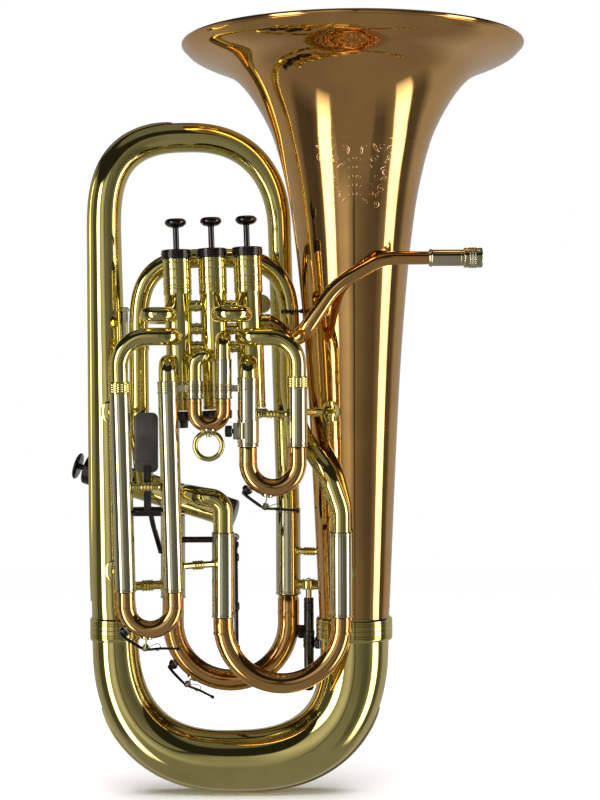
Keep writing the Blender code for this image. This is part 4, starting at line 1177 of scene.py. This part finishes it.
def make_damper():
    """Cylinder of the damper on the main slide, with its clamp and thumb knob."""
    top, foot = 171.0, 89.0
    rings = [(foot + 4.6, 1.0, -0.4), (top - 11.0, 0.8, -0.3), (top - 8.0, 0.8, 0.3), (top - 4.2, 1.0, -0.4)]
    shell = Shell()
    side = banded(4.5, foot + 0.8, top - 0.5, rings)[::-1]
    lathe(shell, [(2.95, top), (4.1, top), *side, (4.1, foot), (2.95, foot)], (*DAMPER, 0.0), sides=40)
    plug = ((0.0, foot + 3.0), (3.3, foot + 3.0), (3.3, foot + 0.2), (3.9, foot), (3.4, foot - 1.2),
            (2.2, foot - 1.8), (0.0, foot - 1.8))
    lathe(shell, plug, (*DAMPER, 0.0), sides=32)
    shell.piece("damper_cylinder_tube", "main_slide", BLACK)
    shell = Shell()
    place = Matrix.Translation((57.15, 25.1, 140.0)) @ Matrix.Rotation(-0.354, 4, "Z")
    slab(shell, (6.6, 4.0, 12.0), place, 0.8)
    collar(shell, (*DAMPER, 125.5), (0, 0, 1), 4.2, 5.2, 16.0, [(5.0, 1.2, -0.4), (11.0, 1.2, -0.4)], 0.6, 40)
    shell.piece("damper_lug_clamp", "main_slide", BLACK)
    shell = Shell()
    knurl = [(level, 0.9, 0.2, 0.16) for level in (1.9, 3.1, 4.3)]
    lathe(shell, [(0.0, 0.0), (2.4, 0.0), (2.4, 0.8), *banded(5.5, 1.2, 5.0, knurl), (5.0, 5.4), (0.0, 5.4)],
          (68.6, 20.6, 130.6), (1, -0.2, 0), 96, 28)
    shell.piece("damper_lug_knob", "main_slide", BLACK)


def make_trigger_pivot():
    leg_back = FRONT_Y + LOOP_SLEEVE - 0.4
    left, right = third_x(-1, TRIGGER[2]), third_x(1, TRIGGER[2])
    corners = ((left, leg_back, TRIGGER[2], 0, 1.9), (left, TRIGGER[1], TRIGGER[2], 4, 1.9),
               (right, TRIGGER[1], TRIGGER[2], 4, 1.9), (right, leg_back, TRIGGER[2], 0, 1.9))
    shell = sweep(Shell(), rounded_route(corners), 24)
    for x in (left, right):
        lathe(shell, eased([(0.0, -0.6), (4.4, -0.6), (4.4, 1.0), (2.6, 2.6), (0.0, 2.6)], 0.5),
              (x, leg_back, TRIGGER[2]), (0, 1, 0), 32)
    shell.piece("trigger_pivot_bar", "body", BLACK, "trigger_pivot")


def make_trigger_lever():
    shell = Shell()
    rings = [(height, 1.0, -0.4) for height in (2.0, 24.0)]
    collar(shell, (TRIGGER[0] - 13.0, *TRIGGER[1:]), (1, 0, 0), 2.3, 4.2, 26.0, rings, 0.5, 40)
    slab(shell, (6.5, 3.0, 40.0), Matrix.Translation((-76.0, -45.0, 273.5)), 0.9)
    path = spline(((-73.6, -41.2, 251.0), (-72.0, -38.2, 242.0), (-69.4, -33.6, 231.0),
                   (-66.0, -26.8, 216.4)), 6)
    across = Vector((1, 0, 0))
    rings = []
    for index, (point, along) in enumerate(zip(path, tangents(path))):
        deep = along.cross(across).normalized()
        half = 3.4 - 0.9 * index / len(path)
        outline = ((-1.5, -half), (1.5, -half), (1.9, -half + 0.6), (1.9, half - 0.6), (1.5, half),
                   (-1.5, half), (-1.9, half - 0.6), (-1.9, -half + 0.6))
        rings.append([point + across * wide + deep * high for wide, high in outline])
    shell.loft(rings)
    shell.piece("trigger_lever_arms", "trigger_lever", BLACK, "trigger_lever")


def make_trigger_paddle():
    """The thumb plate, with rounded corners, a crowned face and a foot that bends back."""
    shell = Shell()
    rings = []
    steps, foot, top, half_width, corner = 40, 287.0, 339.0, 10.4, 5.2
    for step in range(steps + 1):
        share = step / steps
        z = foot + (top - foot) * (1 - math.cos(math.pi * share)) / 2
        near = min(z - foot, top - z)
        wide = half_width
        if near < corner:
            wide += math.sqrt(max(0.0, corner ** 2 - (corner - near) ** 2)) - corner
        lip = 0.35 + 0.65 * min(1.0, near / 0.9)
        back = max(0.0, 297.0 - z) * 0.32
        crown = 1.7 * lip
        ring = []
        for part in range(36):
            turn = 2 * math.pi * part / 36
            x = wide * signed_power(math.cos(turn), 0.25)
            y = crown * signed_power(math.sin(turn), 0.6)
            ring.append((-77.1 + x, -45.2 + y + back, z))
        rings.append(ring)
    shell.loft(rings)
    for z, half in ((313.6, 7.6), (300.4, 7.6), (316.4, 4.8)):
        slab(shell, (2 * half, 0.9, 0.7), Matrix.Translation((-77.1, -46.75, z)), 0.3)
    slab(shell, (19.6, 1.2, 1.0), Matrix.Translation((-77.1, -46.6, 296.8)), 0.4)
    shell.piece("trigger_paddle_plate", "trigger_lever", PADDLE)


def make_trigger_spring():
    shell = Shell()
    coil = []
    for step in range(97):
        turn = 2 * math.pi * step / 16
        x = TRIGGER[0] + 13.4 + 6.0 * step / 96
        coil.append((Vector((x, TRIGGER[1] + 4.6 * math.cos(turn), TRIGGER[2] + 4.6 * math.sin(turn))), 0.45))
    sweep(shell, coil, 8)
    leg = spline((coil[0][0], (-67.0, -46.2, 262.0), (-72.5, -46.4, 270.0)), 5)
    sweep(shell, [(point, 0.42) for point in leg], 8)
    shell.piece("trigger_spring_wire", "body", BLACK)


def make_trigger_shaft():
    corners = ((-59.5, SHAFT_Y, 212.0, 0, SHAFT_ROD), (-59.5, SHAFT_Y, SHAFT_Z, 5, SHAFT_ROD),
               (PUSH_X, SHAFT_Y, SHAFT_Z, 5, SHAFT_ROD), (PUSH_X, 4.5, SHAFT_Z, 0, SHAFT_ROD))
    shell = sweep(Shell(), rounded_route(corners), 24)
    ball(shell, (-59.5, SHAFT_Y, 212.6), 3.3)
    ball(shell, (PUSH_X, 3.2, SHAFT_Z), 3.4)
    for x in (-54.0, -4.6):
        collar(shell, (x - 1.5, SHAFT_Y, SHAFT_Z), (1, 0, 0), 2.3, 3.8, 3.0, (), 0.5, 32)
    shell.piece("trigger_shaft_bar", "trigger_shaft", BLACK, "trigger_shaft")


def make_shaft_bearing():
    shell = Shell()
    collar(shell, (FOURTH_X[0] - 5.0, SHAFT_Y, SHAFT_Z), (1, 0, 0), 3.2, 5.0, 10.0,
           [(2.0, 0.9, -0.4), (8.0, 0.9, -0.4)], 0.5, 40)
    slab(shell, (6.0, 5.6, 5.0), Matrix.Translation((FOURTH_X[0], SHAFT_Y - 6.2, SHAFT_Z)), 0.7)
    slab(shell, (11.0, 1.6, 12.0), Matrix.Translation((FOURTH_X[0], SHAFT_Y - 8.6, SHAFT_Z)), 0.6)
    shell.piece("shaft_bearing_eye", "body", NICKEL, "shaft_bearing")


def make_push_rod():
    top, foot = Vector((PUSH_X, 1.2, 223.5)), Vector((PUSH_X, 23.6, 119.4))
    along = foot - top
    length = along.length
    threads = [(20.4 + 1.6 * turn, 1.1, 0.22) for turn in range(22)]
    profile = [(0.0, 0.0), (2.2, 0.2), (3.0, 1.2), (3.1, 3.0), (2.8, 4.8), (1.9, 6.2), (1.9, 11.0),
               (2.9, 11.8), (3.1, 13.0), (3.1, 16.8), (2.9, 17.9), (1.9, 18.8),
               *banded(1.9, 19.2, 56.4, threads), (2.9, 57.3), (3.1, 58.5), (3.1, 62.7), (2.9, 63.9),
               (2.0, 64.8), (2.0, length - 9.0), (3.3, length - 8.0), (3.3, length - 1.0), (2.6, length),
               (0.0, length)]
    shell = lathe(Shell(), profile, top, along, 32)
    shell.piece("push_rod_links", "main_slide", BLACK, "push_rod")
    shell = Shell()
    slab(shell, (5.0, 5.4, 15.0), Matrix.Translation((PUSH_X, 25.6, 110.0)), 0.9)
    slotted_screw(shell, (PUSH_X, 22.9, 113.0), (0, -1, 0), 1.6, 0.9)
    shell.piece("push_rod_saddle_block", "main_slide", NICKEL)


# ---- water keys, lyre box ----------------------------------------------------------

def make_water_key(which, centre, radius, tube, angle, post, tip, body):
    """A rocking key with cork, hinge barrel, wire spring, and its saddle on the crook."""
    swing = math.radians(angle)
    out = Vector((math.cos(swing), 0, math.sin(swing)))
    seat = Vector(centre) + out * (radius + tube + 0.95)
    hub, end = Vector(post), Vector(tip)
    towards = (Vector(centre) - hub).normalized()
    across = Vector((0, 1, 0))

    shell = Shell()
    cup = [(0.0, 0.5), (3.5, 0.5), (3.6, 0.0), (4.6, 0.0), (4.6, 2.9), (3.4, 4.4), (1.6, 5.2), (0.0, 5.2)]
    lathe(shell, eased(cup, 0.3), seat, out, 36)
    elbow = seat + out * 6.2
    middle = (elbow + hub) / 2 - towards * 1.4
    path = spline((seat + out * 4.4, elbow, middle, hub - towards * 1.2, (hub + end) / 2 - towards * 0.2,
                   end - (end - hub).normalized() * 3.0, end), 7)
    count = len(path) - 1
    rings = []
    for index, (point, along) in enumerate(zip(path, tangents(path))):
        share = index / count
        wide = 1.5 + 0.7 * math.sin(math.pi * min(1.0, share * 1.6)) + (1.0 if share > 0.88 else 0.0)
        thick = 1.55 - 0.6 * share
        up = along.cross(across).normalized()
        rings.append([point + across * wide * math.cos(t) + up * thick * math.sin(t)
                      for t in [2 * math.pi * part / 16 for part in range(16)]])
    shell.loft(rings)
    lathe(shell, eased([(0.0, -3.0), (2.3, -3.0), (2.3, 3.0), (0.0, 3.0)], 0.3), hub, across, 28)
    ball(shell, end - towards * 0.1, 2.1, towards, 0.75)
    shell.piece(f"water_key_{which}_lever", f"water_key_{which}", BLACK, f"water_key_{which}")

    shell = Shell()
    lathe(shell, eased([(0.0, -0.75), (3.3, -0.75), (3.4, 0.7), (0.0, 0.7)], 0.2), seat, out, 32)
    shell.piece(f"water_key_{which}_cork", f"water_key_{which}", CORK)

    shell = Shell()
    to_crook = hub - Vector(centre)
    reach = to_crook.length - radius - tube
    place = frame_along(hub + towards * reach / 2, towards)
    for side in (-1, 1):
        slab(shell, (4.4, 1.1, reach + 3.4), place @ Matrix.Translation((side * 3.9, 0, 0)), 0.35)
        slotted_screw(shell, hub + across * side * 4.4, across * side, 1.5, 0.7)
    foot = frame_along(Vector(centre) + to_crook.normalized() * (radius + tube - 0.2), to_crook)
    lathe(shell, eased([(0.0, -1.6), (5.2, -1.6), (5.0, 0.5), (3.4, 1.2), (0.0, 1.2)], 0.4),
          foot.translation, to_crook, 32)
    lathe(shell, eased([(0.0, -1.8), (2.6, -1.8), (2.6, 1.4), (0.0, 1.4)], 0.3),
          Vector(centre) + out * (radius + tube - 1.4), out, 28)
    shell.piece(f"water_key_{which}_saddle", body, NICKEL)

    shell = Shell()
    forward = (end - hub).normalized()
    loop = []
    for step in range(49):
        turn = 2 * math.pi * step / 16
        loop.append(hub + forward * (2.9 * math.cos(turn)) + towards * (2.9 * math.sin(turn))
                    + across * (-1.6 + 3.2 * step / 48))
    far = spline((loop[-1], loop[-1] + forward * 3.4 + towards * 2.4,
                  loop[-1] + forward * 7.5 + towards * 3.6, loop[-1] + forward * 10.0 + towards * 0.6), 5)
    near = spline((loop[0], loop[0] + forward * 3.0 - towards * 0.6,
                   loop[0] + forward * 9.0 - towards * 2.2), 5)
    sweep(shell, [(point, 0.38) for point in [*near[::-1][:-1], *loop, *far[1:]]], 8)
    shell.piece(f"water_key_{which}_spring", body, NICKEL)


def make_water_keys():
    first_x = sum(FIRST_X) / 2
    make_water_key("first", (first_x, FRONT_Y, FIRST_ARC_Z), (FIRST_X[1] - FIRST_X[0]) / 2, LOOP_TUBE, 226,
                   (26.6, FRONT_Y, 259.0), (54.0, FRONT_Y, 255.0), "first_slide")
    make_water_key("third", (THIRD_X, FRONT_Y, THIRD_ARC_Z), THIRD_HALF, LOOP_TUBE, 225,
                   (-75.6, FRONT_Y, 139.5), (-47.6, FRONT_Y, 138.5), "third_slide")
    main_x = sum(MAIN_X) / 2
    make_water_key("main", (main_x, BACK_Y, MAIN_ARC_Z), (MAIN_X[1] - MAIN_X[0]) / 2, MAIN_TUBE, 216,
                   (-46.5, BACK_Y, 92.5), (-24.0, BACK_Y, 80.8), "main_slide")


def make_lyre_box():
    """Square lyre socket beside the first slide's left leg, with its ring and thumbscrew."""
    box_x, box_y, screw_y = 2.2, -88.5, -91.0
    shell = Shell()
    for side in (-1, 1):
        slab(shell, (1.1, 11.0, 14.0), Matrix.Translation((box_x + side * 1.6, box_y, LYRE_Z)), 0.3)
        slab(shell, (4.2, 1.8, 14.0), Matrix.Translation((box_x, box_y + side * 4.6, LYRE_Z)), 0.3)
    slab(shell, (2.6, 3.0, 12.0), Matrix.Translation((box_x + 2.4, box_y + 4.0, LYRE_Z)), 0.4)
    collar(shell, (FIRST_X[0], FRONT_Y, LYRE_Z - 10.8), (0, 0, 1), LOOP_SLEEVE - 0.2, LOOP_SLEEVE + 0.6, 20.0,
           (), 0.5, 56)
    shell.piece("lyre_box_socket", "body", NICKEL, "lyre_box")
    shell = Shell()
    knurl = [(height, 1.0, 0.1, 0.2) for height in (1.6, 2.8, 4.0, 5.2)]
    lathe(shell, [(0.0, -0.4), (2.2, -0.4), (2.2, 0.4), (4.3, 0.5), *banded(4.7, 1.0, 5.8, knurl),
                  (4.2, 6.4), (2.4, 6.6), (2.0, 6.1), (0.0, 6.1)],
          (box_x - 2.6, screw_y, LYRE_Z), (-1, 0, 0), 96, 24)
    shell.piece("lyre_screw_head", "lyre_screw", BLACK, "lyre_screw")


# ---- stage -------------------------------------------------------------------------

def make_camera():
    camera = bpy.data.cameras.new("camera")
    camera.lens = CAMERA_LENS
    camera.sensor_width = CAMERA_SENSOR
    camera.sensor_fit = "AUTO"
    holder = bpy.data.objects.new("camera", camera)
    bpy.context.scene.collection.objects.link(holder)
    holder.location = CAMERA_PLACE
    look = Matrix.Rotation(math.radians(90), 3, "X") @ Matrix.Rotation(math.radians(CAMERA_ROLL), 3, "Z")
    holder.rotation_euler = look.to_euler()
    bpy.context.scene.camera = holder


def make_floor():
    """A round pale floor whose far edge fades out."""
    mesh = bpy.data.meshes.new("floor")
    disc = bmesh.new()
    bmesh.ops.create_circle(disc, cap_ends=True, segments=96, radius=4.0)
    disc.to_mesh(mesh)
    disc.free()
    floor = bpy.data.objects.new("floor", mesh)
    bpy.context.scene.collection.objects.link(floor)
    graph = Graph("floor_paper")
    graph.finish(Base_Color=(0.97, 0.97, 0.97, 1.0), Roughness=0.9, Specular_IOR_Level=0.1)
    centre = graph.add("ShaderNodeVectorMath", operation="LENGTH")
    graph.link(graph.place.outputs["Object"], centre.inputs[0])
    fade = graph.span(centre.outputs["Value"], 1.0, 0.0, 0.5, 2.2)
    graph.link(fade, graph.shader.inputs["Alpha"])
    mesh.materials.append(graph.material)
    floor.visible_glossy = False


def area_light(name, place, target, wide, tall, radiance):
    """A rectangular lamp facing the target, sized in metres and left out of reflections."""
    lamp = bpy.data.lights.new(name, "AREA")
    lamp.shape = "RECTANGLE"
    lamp.size = wide
    lamp.size_y = tall
    lamp.energy = radiance * math.pi * wide * tall
    holder = bpy.data.objects.new(name, lamp)
    bpy.context.scene.collection.objects.link(holder)
    holder.location = place
    aim = Vector(target) - Vector(place)
    holder.rotation_euler = aim.to_track_quat("-Z", "Y").to_euler()
    holder.visible_camera = False
    holder.visible_glossy = False


def make_lights():
    area_light("overhead", (0.0, -0.4, 3.0), (0.0, 0.0, 0.0), 3.6, 3.6, 4.4)
    area_light("front_fill", (0.3, -3.0, 1.6), (0.05, 0.0, 0.36), 2.4, 2.0, 0.9)


# (degrees round from the front towards the bell, brightness) of the studio's walls
WALLS = ((-180, 0.40), (-140, 0.36), (-118, 0.32), (-96, 0.26), (-86, 0.08), (-66, 0.07), (-57, 0.14),
         (-54, 4.6), (-38, 4.6), (-35, 0.26), (-27, 0.50), (-14, 0.62), (-6, 0.36), (-2.0, 0.26),
         (-0.5, 0.02), (1.0, 0.02), (2.5, 0.22), (14, 0.17), (30, 0.12), (46, 0.10), (58, 0.22),
         (63, 0.30), (65, 4.2), (84, 3.6), (87, 0.08), (102, 0.10), (114, 0.38), (180, 0.40))
FLOOR_BRIGHT = 0.22
UPPER_BRIGHT = 0.02
CEILING_BRIGHT = 0.16


def make_world():
    """White to the camera; to reflections a warm dim studio with bright and dark upright bands."""
    world = bpy.data.worlds.new("studio")
    bpy.context.scene.world = world
    world.use_nodes = True
    tree = world.node_tree
    tree.nodes.clear()
    add = tree.nodes.new

    def value(operation, *sources):
        node = add("ShaderNodeMath")
        node.operation = operation
        for socket, source in zip(node.inputs, sources):
            if isinstance(source, float):
                socket.default_value = source
            else:
                tree.links.new(source, socket)
        return node.outputs["Value"]

    def ramped(source, start, end):
        node = add("ShaderNodeMapRange")
        node.inputs["From Min"].default_value = start
        node.inputs["From Max"].default_value = end
        tree.links.new(source, node.inputs["Value"])
        return node.outputs["Result"]

    def blend(share, first, second):
        return value("MULTIPLY_ADD", share, value("SUBTRACT", second, first), first)

    where = add("ShaderNodeTexCoord")
    parts = add("ShaderNodeSeparateXYZ")
    tree.links.new(where.outputs["Generated"], parts.inputs["Vector"])
    x, y, z = [parts.outputs[axis] for axis in "XYZ"]
    azimuth = value("ARCTAN2", x, value("MULTIPLY", y, -1.0))
    walls = add("ShaderNodeValToRGB")
    stops = walls.color_ramp.elements
    for index, (degrees, bright) in enumerate((WALLS[0], WALLS[-1], *WALLS[1:-1])):
        stop = stops[index] if index < 2 else stops.new((degrees + 180.0) / 360.0)
        stop.color = (bright / 2, bright / 2, bright / 2, 1.0)
    tree.links.new(value("MULTIPLY_ADD", azimuth, 0.5 / math.pi, 0.5), walls.inputs["Fac"])
    bright = value("MULTIPLY", walls.outputs["Color"], 2.0)
    aside = ramped(value("ABSOLUTE", azimuth), 0.45, 0.60)
    above_floor = value("MULTIPLY_ADD", aside, 0.42, z)
    bright = blend(ramped(above_floor, -0.16, -0.34), bright, FLOOR_BRIGHT)
    bright = blend(ramped(z, 0.38, 0.44), bright, UPPER_BRIGHT)
    bright = blend(ramped(z, 0.80, 0.86), bright, CEILING_BRIGHT)

    seen = add("ShaderNodeBackground")
    lit = add("ShaderNodeBackground")
    seen.inputs["Color"].default_value = (1.0, 1.0, 1.0, 1.0)
    lit.inputs["Color"].default_value = (1.0, 0.965, 0.91, 1.0)
    tree.links.new(bright, lit.inputs["Strength"])
    ray = add("ShaderNodeLightPath")
    choose = add("ShaderNodeMixShader")
    tree.links.new(ray.outputs["Is Camera Ray"], choose.inputs["Fac"])
    tree.links.new(lit.outputs["Background"], choose.inputs[1])
    tree.links.new(seen.outputs["Background"], choose.inputs[2])
    out = add("ShaderNodeOutputWorld")
    tree.links.new(choose.outputs["Shader"], out.inputs["Surface"])
    bpy.context.scene.view_settings.view_transform = "Standard"


# ---- the whole instrument ----------------------------------------------------------

def main():
    make_camera()
    make_bell()
    make_scrollwork()
    make_ferrules()
    make_bows()
    make_guards()
    make_leadpipe()
    for number in (1, 2, 3, 4):
        make_valve(number)
    make_knuckles()
    make_front_loops()
    make_back_loops()
    make_slides()
    make_stays()
    make_branch_stays()
    make_damper_stay()
    make_small_stays()
    make_damper()
    make_trigger_pivot()
    make_trigger_lever()
    make_trigger_paddle()
    make_trigger_spring()
    make_trigger_shaft()
    make_shaft_bearing()
    make_push_rod()
    make_water_keys()
    make_lyre_box()
    make_floor()
    make_lights()
    make_world()


main()
